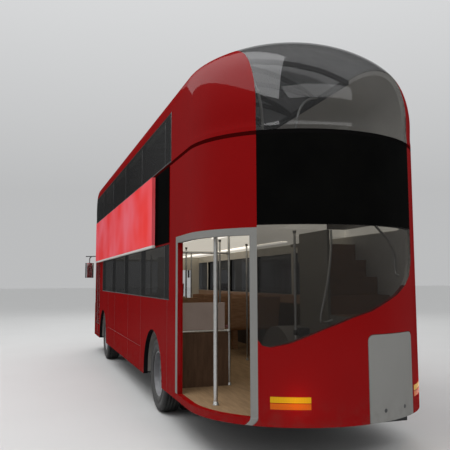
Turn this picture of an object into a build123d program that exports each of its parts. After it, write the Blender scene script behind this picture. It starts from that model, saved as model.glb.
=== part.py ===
from build123d import *
import os
from math import asin, atan2, cos, degrees, hypot, sin, sqrt

os.makedirs("parts", exist_ok=True)

# A two-deck city bus with rounded ends, a glazed roof and an open rear platform on its nearside.
# X points forward, Y to the nearside (the platform side), Z up. Millimetres.
# The origin is on the ground, midway between the ends and between the sides.

# Overall form
length = 11000
width = 2520
height = 4305
corner_radius = 1085
bow_radius = 1400
wall = 60
glass = 14
skirt_z = 400
seam_z = 3065
seam_height = 40
dome_z = 3355

# Decks
floor_z = 470
floor_thickness = 40
deck_z = 2370
deck_thickness = 100
fit = 0.3

# Rear end
rear_glass_half = 840
band_z = 2215
header_z = 2190
header_depth = 70
rear_post_width = 56
front_post_width = 90
opening_front = 1590
column_front = 2000
display_front = 2800

# Side windows, measured from the rear end
upper_bay_start = 2250
bay = 1550
bay_count = 5
pillar = 75
upper_window_top = 3715
lower_window_bottom = 1470
lower_window_top = 2130

# Wheels and axles, measured from the rear end
rear_axle_x = 2950
front_axle_x = 8300
wheel_radius = 480
rim_radius = 292
tyre_width = 245
front_tyre_width = 270
wheel_outer_y = 1190
twin_gap = 60
arch_radius = 575
kingpin_inset = 95
beam_low = 130
beam_depth = 90
rear_beam_top = 290
stub_radius = 45
kingpin_radius = 24
running = 0.05

# Front door, measured from the rear end
door_rear = 8970
door_front = 9850
door_top = 2150
leaf_thickness = 40
leaf_gap = 8
jamb_gap = 18
leaf_set_in = 8
arm_set_in = 40
pivot_lead = 20

# Rear hatch
hatch_near = 160
hatch_off = 790
hatch_top = 1195
hatch_gap = 5
hatch_corner = 60

half_length = length / 2
half_width = width / 2
turn = degrees(atan2(half_width - corner_radius, sqrt((bow_radius - corner_radius) ** 2
                                                     - (half_width - corner_radius) ** 2)))


def from_rear(distance):
    """X of a place that is given as its distance from the rear end."""
    return distance - half_length


def save(part, name):
    """Labels a finished piece and writes it."""
    part.label = name
    export_step(part, f"parts/{name}.step")


# The dome above the walls, level by level: rise over dome_z, how far the flanks and the ends draw in.
dome_height = height - dome_z
dome_levels = [
    (-0.22, 0, 0),
    (0.00, 0, 0),
    (0.20, 0, 24),
    (0.38, 3, 88),
    (0.50, 16, 155),
    (0.59, 48, 222),
    (0.69, 135, 318),
    (0.80, 315, 460),
    (0.90, 560, 650),
    (0.97, 830, 870),
    (1.00, 1080, 1150),
]


def plan_outline(side_in=0, nose_in=0, skin=0):
    """Plan of the body: straight flanks, rounded corners and bowed ends, in the sketch it is called in."""
    share = 1 - side_in / half_width
    corner = corner_radius * share - skin
    bow = bow_radius * share - skin
    flank_y = half_width - side_in - skin
    corner_y = flank_y - corner
    bow_x = half_length - nose_in - skin - bow
    corner_x = bow_x + sqrt((bow - corner) ** 2 - corner_y ** 2)
    with BuildLine(Plane.XY) as outline:
        Line((-corner_x, flank_y), (corner_x, flank_y))
        CenterArc((corner_x, corner_y), corner, 90, turn - 90)
        CenterArc((bow_x, 0), bow, turn, -2 * turn)
        CenterArc((corner_x, -corner_y), corner, -turn, turn - 90)
        Line((corner_x, -flank_y), (-corner_x, -flank_y))
        CenterArc((-corner_x, -corner_y), corner, -90, turn - 90)
        CenterArc((-bow_x, 0), bow, 180 + turn, -2 * turn)
        CenterArc((-corner_x, corner_y), corner, 180 - turn, turn - 90)
    make_face(outline.edges())


def body_solid(skin):
    """The whole body as one solid, drawn in by skin all round."""
    with BuildPart() as solid:
        with BuildSketch(Plane.XY.offset(skirt_z)):
            plan_outline(skin=skin)
        extrude(amount=dome_z + dome_levels[0][0] * dome_height - skirt_z)
        for rise, side_in, nose_in in dome_levels:
            drop = skin * max(rise, 0)
            with BuildSketch(Plane.XY.offset(dome_z + dome_height * rise - drop)):
                plan_outline(side_in, nose_in, skin * (1 - max(rise, 0) / 2))
        loft()
    return solid.part


outer_body = body_solid(0)
glass_body = body_solid(glass)
inner_body = body_solid(wall)

with BuildPart() as wall_shell:
    add(outer_body)
    add(inner_body, mode=Mode.SUBTRACT)

with BuildPart() as glass_shell:
    add(outer_body)
    add(glass_body, mode=Mode.SUBTRACT)

with BuildPart() as bar_shell:
    add(glass_body)
    add(inner_body, mode=Mode.SUBTRACT)


def block(x, y, z, mode=Mode.ADD):
    """A box between limits, joined to the part it is called in by mode."""
    with Locations(((x[0] + x[1]) / 2, (y[0] + y[1]) / 2, (z[0] + z[1]) / 2)):
        Box(x[1] - x[0], y[1] - y[0], z[1] - z[0], mode=mode)


def keep(x, y, z):
    """Trims the part it is called in to a box."""
    block(x, y, z, Mode.INTERSECT)


def cut(x, y, z):
    """Cuts a box from the part it is called in."""
    block(x, y, z, Mode.SUBTRACT)


everything = (-2 * length, 2 * length)
rear_half = (-2 * length, 0)
flank_end = half_length - bow_radius + sqrt((bow_radius - corner_radius) ** 2
                                            - (half_width - corner_radius) ** 2)
sides = [("nearside", 1), ("offside", -1)]


def span(side, low, high):
    """Y limits between two distances from the centre line, on one side."""
    return (low, high) if side > 0 else (-high, -low)


# Lower edge of the lower rear glass: it climbs towards the offside with the stairs behind it.
rear_glass_edge = [
    (rear_glass_half, 1165),
    (rear_glass_half - 35, 1112),
    (rear_glass_half - 95, 1096),
    (595, 1131),
    (300, 1253),
    (20, 1354),
    (-200, 1414),
    (-400, 1496),
    (-560, 1566),
    (-690, 1648),
    (-rear_glass_half + 60, 1738),
    (-rear_glass_half + 5, 1881),
    (-rear_glass_half, 1960),
]


def rear_glass_outline():
    """The lower rear glass seen from behind, in the sketch it is called in."""
    with BuildLine(Plane.XY) as outline:
        Polyline(*rear_glass_edge, (-rear_glass_half, band_z), (rear_glass_half, band_z), close=True)
    make_face(outline.edges())


# Rear window and panels
with BuildPart() as rear_upper_glass:
    add(glass_shell.part)
    keep((-2 * length, from_rear(1700)), (-rear_glass_half, rear_glass_half),
         (seam_z + seam_height, 2 * height))
save(rear_upper_glass.part, "rear_upper_glass")

with BuildPart() as rear_lower_glass:
    with BuildSketch(Plane.YZ.offset(-2 * half_length)):
        rear_glass_outline()
    extrude(amount=2 * half_length)
    add(glass_shell.part, mode=Mode.INTERSECT)
save(rear_lower_glass.part, "rear_lower_glass")

# Hatch over the engine: a rounded panel of the bowed rear wall, on gooseneck hinges at its top.
hatch_mid = asin((hatch_near + hatch_off) / 2 / bow_radius)
bow_centre = -half_length + bow_radius
hatch_outward = Vector(-cos(hatch_mid), -sin(hatch_mid), 0)
hatch_hinge = Vector(bow_centre, 0, hatch_top) + hatch_outward * bow_radius
hatch_plane = Plane(origin=(hatch_hinge.X, hatch_hinge.Y, 0),
                    x_dir=(sin(hatch_mid), -cos(hatch_mid), 0),
                    z_dir=(-cos(hatch_mid), -sin(hatch_mid), 0))
hatch_chord = 2 * bow_radius * sin((asin(hatch_off / bow_radius) - asin(hatch_near / bow_radius)) / 2)


def hatch_prism(grow):
    """The hatch's rounded outline, grown by a gap and run through the wall."""
    with BuildSketch(hatch_plane.offset(-3 * wall)) as outline:
        with Locations((0, (hatch_top + skirt_z - hatch_corner) / 2)):
            RectangleRounded(hatch_chord + 2 * grow, hatch_top - skirt_z + hatch_corner + 2 * grow,
                             hatch_corner)
    return extrude(outline.sketch, amount=5 * wall, mode=Mode.PRIVATE)


with BuildPart() as service_hatch:
    add(wall_shell.part)
    add(hatch_prism(0), mode=Mode.INTERSECT)
save(service_hatch.part, "service_hatch")

# Lamps: flush strips in the rear corners, each an upper and a lower half, and headlamps
lamp_z = 555
lamp_half = 52
lamp_gap = 6
with BuildPart() as rear_lamps:
    for y in ((420, 750), (-1100, -810)):
        for n in range(2):
            low = lamp_z + n * (lamp_half + lamp_gap)
            block(rear_half, y, (low, low + lamp_half))
    add(glass_shell.part, mode=Mode.INTERSECT)
save(rear_lamps.part, "rear_lamps")

with BuildPart() as headlamps:
    for side in (-1, 1):
        with BuildSketch(Plane.YZ):
            with Locations((side * 880, 760)):
                SlotOverall(360, 130)
        extrude(amount=length)
    add(glass_shell.part, mode=Mode.INTERSECT)
save(headlamps.part, "headlamps")

with BuildPart() as rear_lower_panel:
    add(wall_shell.part)
    keep((-2 * length, from_rear(column_front)), (-2 * width, 2 * width), (skirt_z, seam_z))
    cut(everything, (rear_glass_half + rear_post_width, 2 * width), (floor_z, 2 * height))
    cut((-2 * length, -half_length + bow_radius), (-rear_glass_half, 2 * width), (band_z, 2 * height))
    cut((-2 * length, -half_length + bow_radius), (rear_glass_half, 2 * width), (floor_z, 2 * height))
    with BuildSketch(Plane.YZ.offset(-2 * half_length)):
        rear_glass_outline()
    extrude(amount=2 * half_length, mode=Mode.SUBTRACT)
    add(hatch_prism(hatch_gap), mode=Mode.SUBTRACT)
    add(rear_lamps.part, mode=Mode.SUBTRACT)
save(rear_lower_panel.part, "rear_lower_panel")

with BuildPart() as nearside_rear_panel:
    add(wall_shell.part)
    keep((-2 * length, from_rear(column_front)), (rear_glass_half, 2 * width), (floor_z, seam_z))
    cut((-2 * length, from_rear(opening_front + front_post_width)), (0, 2 * width), (floor_z, header_z))
save(nearside_rear_panel.part, "nearside_rear_panel")

# Frame round the platform opening: a header that follows the corner and two posts. The opening's rear side
# runs square to the curved wall, from the centre of the corner.
corner_centre_y = half_width - corner_radius
post_angle = asin((rear_glass_half + rear_post_width - corner_centre_y) / corner_radius)
with BuildPart() as platform_frame:
    add(wall_shell.part)
    keep((-2 * length, from_rear(opening_front + front_post_width)), (rear_glass_half, 2 * width),
         (floor_z, header_z))
    with BuildSketch(Plane.XY.offset(floor_z)):
        with BuildLine():
            Polyline((-flank_end, corner_centre_y),
                     (-flank_end - width * cos(post_angle), corner_centre_y + width * sin(post_angle)),
                     (-flank_end, corner_centre_y + width), (from_rear(opening_front), corner_centre_y + width),
                     (from_rear(opening_front), corner_centre_y), close=True)
        make_face()
    extrude(amount=header_z - header_depth - floor_z, mode=Mode.SUBTRACT)
save(platform_frame.part, "platform_frame")

with BuildPart() as seam_band:
    add(wall_shell.part)
    keep(everything, everything, (seam_z, seam_z + seam_height))
save(seam_band.part, "seam_band")

windows_from = from_rear(upper_bay_start - bay / 5)
door_low, door_high = from_rear(door_rear), from_rear(door_front)
last_pillar = from_rear(upper_bay_start + (bay_count - 1) * bay)
# Glazing of both decks' sides, as thin panes at the outer face
with BuildPart() as side_glass:
    add(glass_shell.part)
    keep((windows_from, flank_end - pillar), everything, (lower_window_bottom, upper_window_top))
    cut(everything, everything, (lower_window_top, seam_z + seam_height))
    cut((2 * -length, from_rear(column_front)), everything, (0, lower_window_top))
    cut((last_pillar + pillar / 2, 2 * length), everything, (lower_window_top, 2 * height))
    cut((last_pillar, 2 * length), (0, 2 * width), (0, lower_window_top))
    cut(everything, (-rear_glass_half, rear_glass_half), everything)
save(side_glass.part, "side_glass")

# Upper walls: one moulding along each side, with the window ribbon cut between pillars.
roof_front_x = from_rear(length - 1700)
for name, side in sides:
    with BuildPart() as upper_shell:
        add(wall_shell.part)
        keep(everything, span(side, rear_glass_half, 2 * width), (seam_z + seam_height, 2 * height))
        edges = [windows_from] + [from_rear(upper_bay_start + n * bay) for n in range(bay_count)]
        for n in range(bay_count):
            low = edges[n] if n == 0 else edges[n] + pillar / 2
            cut((low, edges[n + 1] - pillar / 2), span(side, half_width - 300, 2 * width),
                (0, upper_window_top))
        cut((edges[-1] + pillar / 2, 2 * length), everything, (0, upper_window_top))
        add(side_glass.part, mode=Mode.SUBTRACT)
    save(upper_shell.part, f"{name}_upper_shell")

with BuildPart() as front_dome:
    add(wall_shell.part)
    keep((roof_front_x, 2 * length), (-rear_glass_half, rear_glass_half), (upper_window_top, 2 * height))
save(front_dome.part, "front_dome")

with BuildPart() as front_upper_glass:
    add(glass_shell.part)
    keep((last_pillar + pillar / 2, 2 * length), everything,
         (seam_z + seam_height, upper_window_top))
save(front_upper_glass.part, "front_upper_glass")

with BuildPart() as roof_glass:
    add(glass_shell.part)
    keep((from_rear(1700), roof_front_x), (-rear_glass_half, rear_glass_half), (upper_window_top, 2 * height))
save(roof_glass.part, "roof_glass")

# Roof bars: one across every half bay and one slanting through each, under the glass.
bar_width = 50
bar_pitch = bay / 2
bar_count = 11
bar_start = from_rear(1400)
with BuildPart() as roof_bars:
    with BuildSketch(Plane.XY.offset(dome_z)):
        for n in range(bar_count):
            with Locations((bar_start + n * bar_pitch, 0)):
                Rectangle(bar_width, 2 * rear_glass_half)
        for n in range(bar_count - 1):
            slant = degrees(atan2(-2 * rear_glass_half, bar_pitch))
            with Locations((bar_start + (n + 0.5) * bar_pitch, 0)):
                Rectangle(hypot(2 * rear_glass_half, bar_pitch), bar_width, rotation=slant)
        for side in (-1, 1):
            with Locations((bar_start + (bar_count - 1) / 2 * bar_pitch,
                            side * (rear_glass_half - bar_width / 2))):
                Rectangle((bar_count - 1) * bar_pitch + bar_width, bar_width)
        with Locations((bar_start + (bar_count - 1) / 2 * bar_pitch, 0)):
            Rectangle((bar_count - 1) * bar_pitch + bar_width, 2 * rear_glass_half, mode=Mode.INTERSECT)
    extrude(amount=height)
    add(bar_shell.part, mode=Mode.INTERSECT)
save(roof_bars.part, "roof_bars")

# Side walls: the lower panels, the band between the decks, its front corner, and the door's sill and post.
# They meet with a small gap.
arch_z = wheel_radius
arches = [from_rear(rear_axle_x), from_rear(front_axle_x)]
lower_edges = [from_rear(column_front + 15)]
lower_edges += [from_rear(upper_bay_start + n * bay) for n in range(bay_count)]
for name, side in sides:
    with BuildPart() as side_wall:
        add(wall_shell.part)
        keep((from_rear(column_front), 2 * length), span(side, rear_glass_half, 2 * width), (skirt_z, seam_z))
        cut((flank_end, 2 * length), everything, (0, band_z))
        for n in range(bay_count):
            low = lower_edges[n] + (pillar / 2 if n else 0)
            cut((low, lower_edges[n + 1] - pillar / 2), everything, (lower_window_bottom, lower_window_top))
        with BuildSketch(Plane.XZ):
            for x in arches:
                with Locations((x, arch_z)):
                    Circle(arch_radius)
                    Rectangle(2 * arch_radius, 2 * arch_radius, align=(Align.CENTER, Align.MAX))
        extrude(amount=2 * width, both=True, mode=Mode.SUBTRACT)
        cut(everything, everything, (door_top, door_top + fit))
        cut((flank_end - fit, flank_end), everything, (door_top, seam_z))
        if side > 0:
            cut((door_low, door_high), everything, (floor_z, door_top))
            cut((door_low - fit, door_low), everything, (0, floor_z))
            cut((door_high, door_high + fit), everything, (0, door_top))
        else:
            cut((last_pillar + pillar / 2, flank_end - pillar), everything,
                (lower_window_bottom, lower_window_top))
        add(side_glass.part, mode=Mode.SUBTRACT)
    save(side_wall.part, f"{name}_side_wall")

# Advertising boards stand proud of the band between the decks on both sides
board_proud = 50
board_rear = from_rear(display_front)
board_front = from_rear(9500)
board_low = 2160
with BuildPart() as side_boards:
    for name, side in sides:
        block((board_rear, board_front), span(side, half_width, half_width + board_proud), (board_low, seam_z))
save(side_boards.part, "side_boards")

# Dark display panels: in both ends, and beside the platform on both sides
with BuildPart() as display_panels:
    add(wall_shell.part)
    keep(everything, (-rear_glass_half, rear_glass_half), (band_z, seam_z))
    for name, side in sides:
        block((from_rear(column_front), board_rear - 5), span(side, half_width, half_width + 8),
              (lower_window_top + 20, seam_z))
save(display_panels.part, "display_panels")

# Front end
screen_z = 1150
with BuildPart() as windscreen:
    add(glass_shell.part)
    keep((flank_end, 2 * length), everything, (screen_z, band_z))
save(windscreen.part, "windscreen")

with BuildPart() as front_lower_panel:
    add(wall_shell.part)
    keep((flank_end, 2 * length), everything, (skirt_z, screen_z))
    add(headlamps.part, mode=Mode.SUBTRACT)
save(front_lower_panel.part, "front_lower_panel")

# Decks
house_half = arch_radius - 5
front_house_inner = 500
rear_house_inner = 520
stair_rear, stair_mid, stair_front = from_rear(400), from_rear(1150), from_rear(2110)
stair_outer, stair_inner = -half_width + wall + 20, -370
stair_wall_front = from_rear(1830)
stair_entry = 200
with BuildPart() as lower_floor:
    with BuildSketch(Plane.XY.offset(floor_z - floor_thickness)):
        plan_outline(skin=wall)
        for x, inner in ((arches[0], rear_house_inner), (arches[1], front_house_inner)):
            for side in (-1, 1):
                with Locations((x, side * (half_width + inner) / 2)):
                    Rectangle(2 * house_half, half_width - inner, mode=Mode.SUBTRACT)
        with Locations(((stair_rear + stair_mid) / 2, (stair_inner + 240 + stair_outer) / 2)):
            Rectangle(stair_mid - stair_rear, stair_inner + 240 - stair_outer, mode=Mode.SUBTRACT)
    extrude(amount=floor_thickness)
save(lower_floor.part, "lower_floor")

with BuildPart() as upper_floor:
    with BuildSketch(Plane.XY.offset(deck_z - deck_thickness)):
        plan_outline(skin=wall)
        with Locations(((stair_rear + stair_mid) / 2, (stair_outer + stair_entry + 50) / 2)):
            Rectangle(stair_mid - stair_rear, stair_entry + 50 - stair_outer, mode=Mode.SUBTRACT)
        with Locations(((stair_rear + stair_front) / 2, (stair_outer + stair_inner) / 2)):
            Rectangle(stair_front - stair_rear, stair_inner - stair_outer, mode=Mode.SUBTRACT)
    extrude(amount=deck_thickness)
save(upper_floor.part, "upper_floor")

# Stairs: a short flight along the rear, a corner landing, and a flight forward along the offside.
riser_count = 9
rise = (deck_z - floor_z) / riser_count
tread = 36
going_rear = (stair_entry - stair_inner) / 3
going_side = (stair_front - stair_mid) / 4
stair_steps = [
    (1, (stair_rear, stair_mid), (stair_entry - going_rear, stair_entry)),
    (2, (stair_rear, stair_mid), (stair_entry - 2 * going_rear, stair_entry - going_rear)),
    (3, (stair_rear, stair_mid), (stair_inner, stair_entry - 2 * going_rear)),
    (4, (stair_rear, stair_mid), (stair_outer, stair_inner)),
    (5, (stair_mid, stair_mid + going_side), (stair_outer, stair_inner)),
    (6, (stair_mid + going_side, stair_mid + 2 * going_side), (stair_outer, stair_inner)),
    (7, (stair_mid + 2 * going_side, stair_mid + 3 * going_side), (stair_outer, stair_inner)),
    (8, (stair_mid + 3 * going_side, stair_front), (stair_outer, stair_inner)),
]
stair_panel = 30
with BuildPart() as staircase:
    for number, x, y in stair_steps:
        top = floor_z + number * rise
        block(x, y, (top - tread, top))
        if number <= 4:
            block(x, (y[1] - tread, y[1]), (top - rise - tread, top))
        else:
            block((x[0], x[0] + tread), y, (top - rise - tread, top))
    for n in (1, 2):
        block((stair_mid, stair_mid + stair_panel), (stair_inner, stair_entry - (n - 1) * going_rear),
              (floor_z, floor_z + n * rise))
    block((stair_mid - stair_panel, stair_wall_front),
          (stair_inner - stair_panel / 2, stair_inner + stair_panel / 2),
          (floor_z, deck_z - deck_thickness))
    cut(everything, everything, (0, floor_z))
    with BuildSketch(Plane.XY.offset(floor_z)):
        plan_outline(skin=wall + 10)
    extrude(amount=deck_z, mode=Mode.INTERSECT)
save(staircase.part, "staircase")

# Engine, under the corner landing of the stairs and behind the hatch
engine_front = from_rear(1120)
with BuildPart() as engine_block:
    block((from_rear(560), engine_front), (-940, -300), (250, 1020))
save(engine_block.part, "engine_block")

# Chassis
rail_y = 400
rail_width = 80
rail_z = (330, floor_z - floor_thickness)
rail_ends = (from_rear(1180), from_rear(10300))
outrigger_y = 1180
eye_radius = 25
pad_drop = 20
pad_places = [from_rear(3800), from_rear(9200)]
rail_in, rail_out = rail_y - rail_width / 2 - fit, rail_y + rail_width / 2 + fit
with BuildPart() as chassis_frame:
    for side in (-1, 1):
        block(rail_ends, (side * rail_y - rail_width / 2, side * rail_y + rail_width / 2), rail_z)
        for x in pad_places:
            block((x - rail_width, x + rail_width),
                  (side * rail_y - rail_width / 2, side * rail_y + rail_width / 2),
                  (rail_z[0] - pad_drop, rail_z[0] - fit))
    for x in (1220, 2100, 3800, 5400, 7200, 9200, 10260):
        block((from_rear(x) - 40, from_rear(x) + 40), (-rail_in, rail_in), rail_z)
    for x in (2100, 3800, 5400, 7200, 9200):
        for side in (-1, 1):
            block((from_rear(x) - 30, from_rear(x) + 30), span(side, rail_out, outrigger_y),
                  (rail_z[1] - 60, rail_z[1]))
    block((rail_ends[1] + fit, rail_ends[1] + 120), (-2 * eye_radius, 2 * eye_radius), rail_z)
    with Locations((rail_ends[1] + 60, 0, rail_z[0])):
        Cylinder(eye_radius, 3 * (rail_z[1] - rail_z[0]), mode=Mode.SUBTRACT)
    for x, top in ((arches[0], rear_beam_top), (arches[1], beam_low + beam_depth)):
        for side in (-1, 1):
            with Locations((x, side * rail_y, top)):
                Cylinder(65, rail_z[0] - top - fit, align=(Align.CENTER, Align.CENTER, Align.MIN))
save(chassis_frame.part, "chassis_frame")

# Wheelhouses: round-topped covers, open below and outward
with BuildPart() as wheelhouses:
    for x, inner in ((arches[0], rear_house_inner), (arches[1], front_house_inner)):
        for side in (-1, 1):
            outer_y = half_width - wall
            with BuildSketch(Plane.XZ.offset(-side * inner if side > 0 else inner)):
                with Locations((x, arch_z)):
                    Circle(house_half)
                with Locations((x, floor_z - floor_thickness)):
                    Rectangle(2 * house_half, arch_z - floor_z + floor_thickness,
                              align=(Align.CENTER, Align.MIN))
                    Rectangle(3 * house_half, 2 * house_half, align=(Align.CENTER, Align.MIN), mode=Mode.INTERSECT)
            extrude(amount=(outer_y - inner) * -side)
            with BuildSketch(Plane.XZ.offset(-side * (inner + 8) if side > 0 else inner + 8)):
                with Locations((x, arch_z)):
                    Circle(house_half - 8)
                    Rectangle(2 * house_half - 16, 400, align=(Align.CENTER, Align.MAX))
            extrude(amount=(outer_y - inner) * -side, mode=Mode.SUBTRACT)
save(wheelhouses.part, "wheelhouses")


# Wheels
def tyre_ring(centre, wide):
    """A tyre: a rounded ring about a line along Y."""
    with BuildSketch(Plane(origin=centre, x_dir=(0, 1, 0), z_dir=(1, 0, 0))) as section:
        with BuildLine():
            Polyline((-wide / 2 + 15, rim_radius), (-wide / 2, rim_radius + 70), (-wide / 2, wheel_radius - 50),
                     (-wide / 2 + 30, wheel_radius), (wide / 2 - 30, wheel_radius),
                     (wide / 2, wheel_radius - 50), (wide / 2, rim_radius + 70), (wide / 2 - 15, rim_radius),
                     close=True)
        make_face()
    revolve(section.sketch, axis=Axis(centre, (0, 1, 0)))


def rim_disc(centre, wide, side, dish):
    """A rim: barrel and dished disc, drawn as one section turned about a line along Y."""
    inner = rim_radius - 18
    edge = wide / 2 - 20
    bore = stub_radius + running
    with BuildSketch(Plane(origin=centre, x_dir=(0, side, 0), z_dir=(side, 0, 0))) as section:
        with BuildLine():
            Polyline((-edge, rim_radius - 1), (edge, rim_radius - 1), (edge, inner), (dish + 35, inner),
                     (dish, 170), (dish, 100), (dish + 45, 92), (dish + 45, 0), (dish, 0), (dish, bore),
                     (dish - 60, bore), (dish - 60, 95), (dish - 22, 100), (dish - 22, 180), (dish, inner),
                     (-edge, inner), close=True)
        make_face()
    revolve(section.sketch, axis=Axis(centre, (0, 1, 0)))


front_wheel_y = wheel_outer_y - front_tyre_width / 2
rear_wheel_y = wheel_outer_y - tyre_width / 2
twin_y = rear_wheel_y - tyre_width - twin_gap
kingpin_y = front_wheel_y - kingpin_inset
front_dish = 60
rear_dish = 0
pin_z = (wheel_radius - 75, wheel_radius + 75)
for name, side in sides:
    with BuildPart() as front_tyre:
        tyre_ring((arches[1], side * front_wheel_y, wheel_radius), front_tyre_width)
    save(front_tyre.part, f"front_tyre_{name}")
    with BuildPart() as front_rim:
        rim_disc((arches[1], side * front_wheel_y, wheel_radius), front_tyre_width, side, front_dish)
    save(front_rim.part, f"front_rim_{name}")
    with BuildPart() as rear_tyres:
        for y in (rear_wheel_y, twin_y):
            tyre_ring((arches[0], side * y, wheel_radius), tyre_width)
    save(rear_tyres.part, f"rear_tyres_{name}")
    with BuildPart() as rear_rims:
        rim_disc((arches[0], side * rear_wheel_y, wheel_radius), tyre_width, side, rear_dish)
        with BuildSketch(Plane(origin=(arches[0], side * twin_y, wheel_radius), x_dir=(0, side, 0),
                               z_dir=(side, 0, 0))):
            with BuildLine():
                Polyline((20 - tyre_width / 2, rim_radius - 1), (tyre_width / 2 - 20, rim_radius - 1),
                         (tyre_width / 2 - 20, rim_radius - 18), (120, rim_radius - 40), (120, 160),
                         (rear_wheel_y - twin_y + rear_dish - 60, 94), (rear_wheel_y - twin_y + rear_dish - 60, 60),
                         (98, 120), (98, rim_radius - 18), (20 - tyre_width / 2, rim_radius - 18), close=True)
            make_face()
        revolve(axis=Axis((arches[0], 0, wheel_radius), (0, 1, 0)))
    save(rear_rims.part, f"rear_rims_{name}")
    # Knuckle: an upright bored for the kingpin, and a stub axle
    with BuildPart() as knuckle:
        with Locations((arches[1], side * kingpin_y, wheel_radius)):
            Cylinder(50, pin_z[1] - pin_z[0])
        stub_end = front_wheel_y + front_dish - fit
        with Locations(Location((arches[1], side * (kingpin_y + stub_end) / 2, wheel_radius), (90, 0, 0))):
            Cylinder(stub_radius, stub_end - kingpin_y)
        with Locations((arches[1], side * kingpin_y, wheel_radius)):
            Cylinder(kingpin_radius + running, 2 * wheel_radius, mode=Mode.SUBTRACT)
    save(knuckle.part, f"knuckle_{name}")

# Axles: dropped beams with raised ends
with BuildPart() as front_axle_beam:
    eye = kingpin_y + 45
    eye_top = pin_z[0] - fit
    with BuildSketch(Plane.YZ.offset(arches[1])):
        with BuildLine():
            Polyline((-eye, eye_top), (-eye, eye_top - 50), (-620, beam_low), (620, beam_low), (eye, eye_top - 50),
                     (eye, eye_top), (kingpin_y - 60, eye_top), (560, beam_low + beam_depth),
                     (-560, beam_low + beam_depth), (60 - kingpin_y, eye_top), close=True)
        make_face()
    extrude(amount=45, both=True)
    for side in (-1, 1):
        with Locations((arches[1], side * kingpin_y, eye_top - 20)):
            Cylinder(kingpin_radius, pin_z[1] - eye_top + 50, align=(Align.CENTER, Align.CENTER, Align.MIN))
save(front_axle_beam.part, "front_axle_beam")

with BuildPart() as rear_axle:
    hub_y = twin_y - tyre_width / 2 - 15
    with BuildSketch(Plane.YZ.offset(arches[0])):
        with BuildLine():
            Polyline((-hub_y, wheel_radius + 90), (-hub_y, 250), (-hub_y + 80, 160), (hub_y - 80, 160),
                     (hub_y, 250), (hub_y, wheel_radius + 90), (hub_y - 55, wheel_radius + 90),
                     (hub_y - 90, rear_beam_top), (-hub_y + 90, rear_beam_top), (-hub_y + 55, wheel_radius + 90),
                     close=True)
        make_face()
    extrude(amount=90, both=True)
    with Locations(Location((arches[0], 0, 230), (0, 90, 0))):
        Cylinder(95, 420)
    for side in (-1, 1):
        stub_end = rear_wheel_y + rear_dish - fit
        with Locations(Location((arches[0], side * (hub_y + stub_end) / 2, wheel_radius), (90, 0, 0))):
            Cylinder(stub_radius, stub_end - hub_y)
save(rear_axle.part, "rear_axle")

# Front door: two leaves, each hung at its middle from an arm that turns over it on a pin inside the jamb
leaf_width = (door_high - door_low - leaf_gap) / 2 - jamb_gap
arm_length = (leaf_width + pivot_lead) / 2
leaf_outer = half_width - leaf_set_in
leaf_inner = leaf_outer - leaf_thickness
leaf_top = door_top - leaf_gap
bracket_z = (leaf_top - 75, leaf_top - 45)
arm_y = leaf_inner - arm_set_in
arm_levels = (door_top + 10, door_top + 35)
arm_half = 12
boss_radius = 18
door_pin_radius = 10
hanger_depth = 30
door_pivots = [("rear", 1, door_low + jamb_gap - pivot_lead),
               ("front", -1, door_high - jamb_gap + pivot_lead)]
for name, way, pivot_x in door_pivots:
    leaf_edge = pivot_x + way * pivot_lead
    centre_x = pivot_x + way * arm_length
    leaf_x = sorted((leaf_edge, leaf_edge + way * leaf_width))
    with BuildPart() as door_leaf:
        block(leaf_x, (leaf_inner, leaf_outer), (floor_z + leaf_gap, leaf_top))
        cut((leaf_x[0] + 60, leaf_x[1] - 60), everything, (floor_z + 200, door_top - 130))
        block((leaf_x[0] + 60, leaf_x[1] - 60), (leaf_outer - 20, leaf_outer - 8),
              (floor_z + 200, door_top - 130))
        block((centre_x - boss_radius, centre_x + boss_radius), (arm_y, leaf_inner), bracket_z)
        with Locations((centre_x, arm_y, arm_levels[0] - fit)):
            Cylinder(boss_radius, arm_levels[0] - fit - bracket_z[0],
                     align=(Align.CENTER, Align.CENTER, Align.MAX))
            Cylinder(door_pin_radius, arm_levels[1] - arm_levels[0] + 5,
                     align=(Align.CENTER, Align.CENTER, Align.MIN))
    save(door_leaf.part, f"door_leaf_{name}")
    with BuildPart() as door_arm:
        block(sorted((pivot_x, centre_x)), (arm_y - arm_half, arm_y + arm_half), arm_levels)
        for x in (pivot_x, centre_x):
            with Locations((x, arm_y, sum(arm_levels) / 2)):
                Cylinder(boss_radius, arm_levels[1] - arm_levels[0])
        for x in (pivot_x, centre_x):
            with Locations((x, arm_y, sum(arm_levels) / 2)):
                Cylinder(door_pin_radius + running, 2 * boss_radius, mode=Mode.SUBTRACT)
    save(door_arm.part, f"door_arm_{name}")

with BuildPart() as door_hangers:
    for name, way, pivot_x in door_pivots:
        block((pivot_x - boss_radius, pivot_x + boss_radius), (arm_y - boss_radius, half_width - wall),
              (arm_levels[1] + fit, arm_levels[1] + hanger_depth))
        with Locations((pivot_x, arm_y, arm_levels[1] + fit)):
            Cylinder(door_pin_radius, arm_levels[1] - arm_levels[0] + fit,
                     align=(Align.CENTER, Align.CENTER, Align.MAX))
save(door_hangers.part, "door_hangers")


def rod(start, end, radius, mode=Mode.ADD):
    """A round rod from one point to another, joined by mode to the part it is called in."""
    along = Vector(end) - Vector(start)
    with BuildSketch(Plane(origin=start, z_dir=along)) as section:
        Circle(radius)
    extrude(section.sketch, amount=along.length, mode=mode)


# Driveline: a shaft from the engine's foot to the rear axle
shaft_radius = 30
axle_nose = arches[0] - 210
with BuildPart() as propshaft:
    shaft_start, shaft_end = Vector(engine_front, -420, 285), Vector(axle_nose, 0, 235)
    overrun = (shaft_end - shaft_start).normalized() * shaft_radius
    rod(shaft_start - overrun, shaft_end + overrun, shaft_radius)
    keep((engine_front + fit, axle_nose - fit), everything, everything)
save(propshaft.part, "propshaft")

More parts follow.
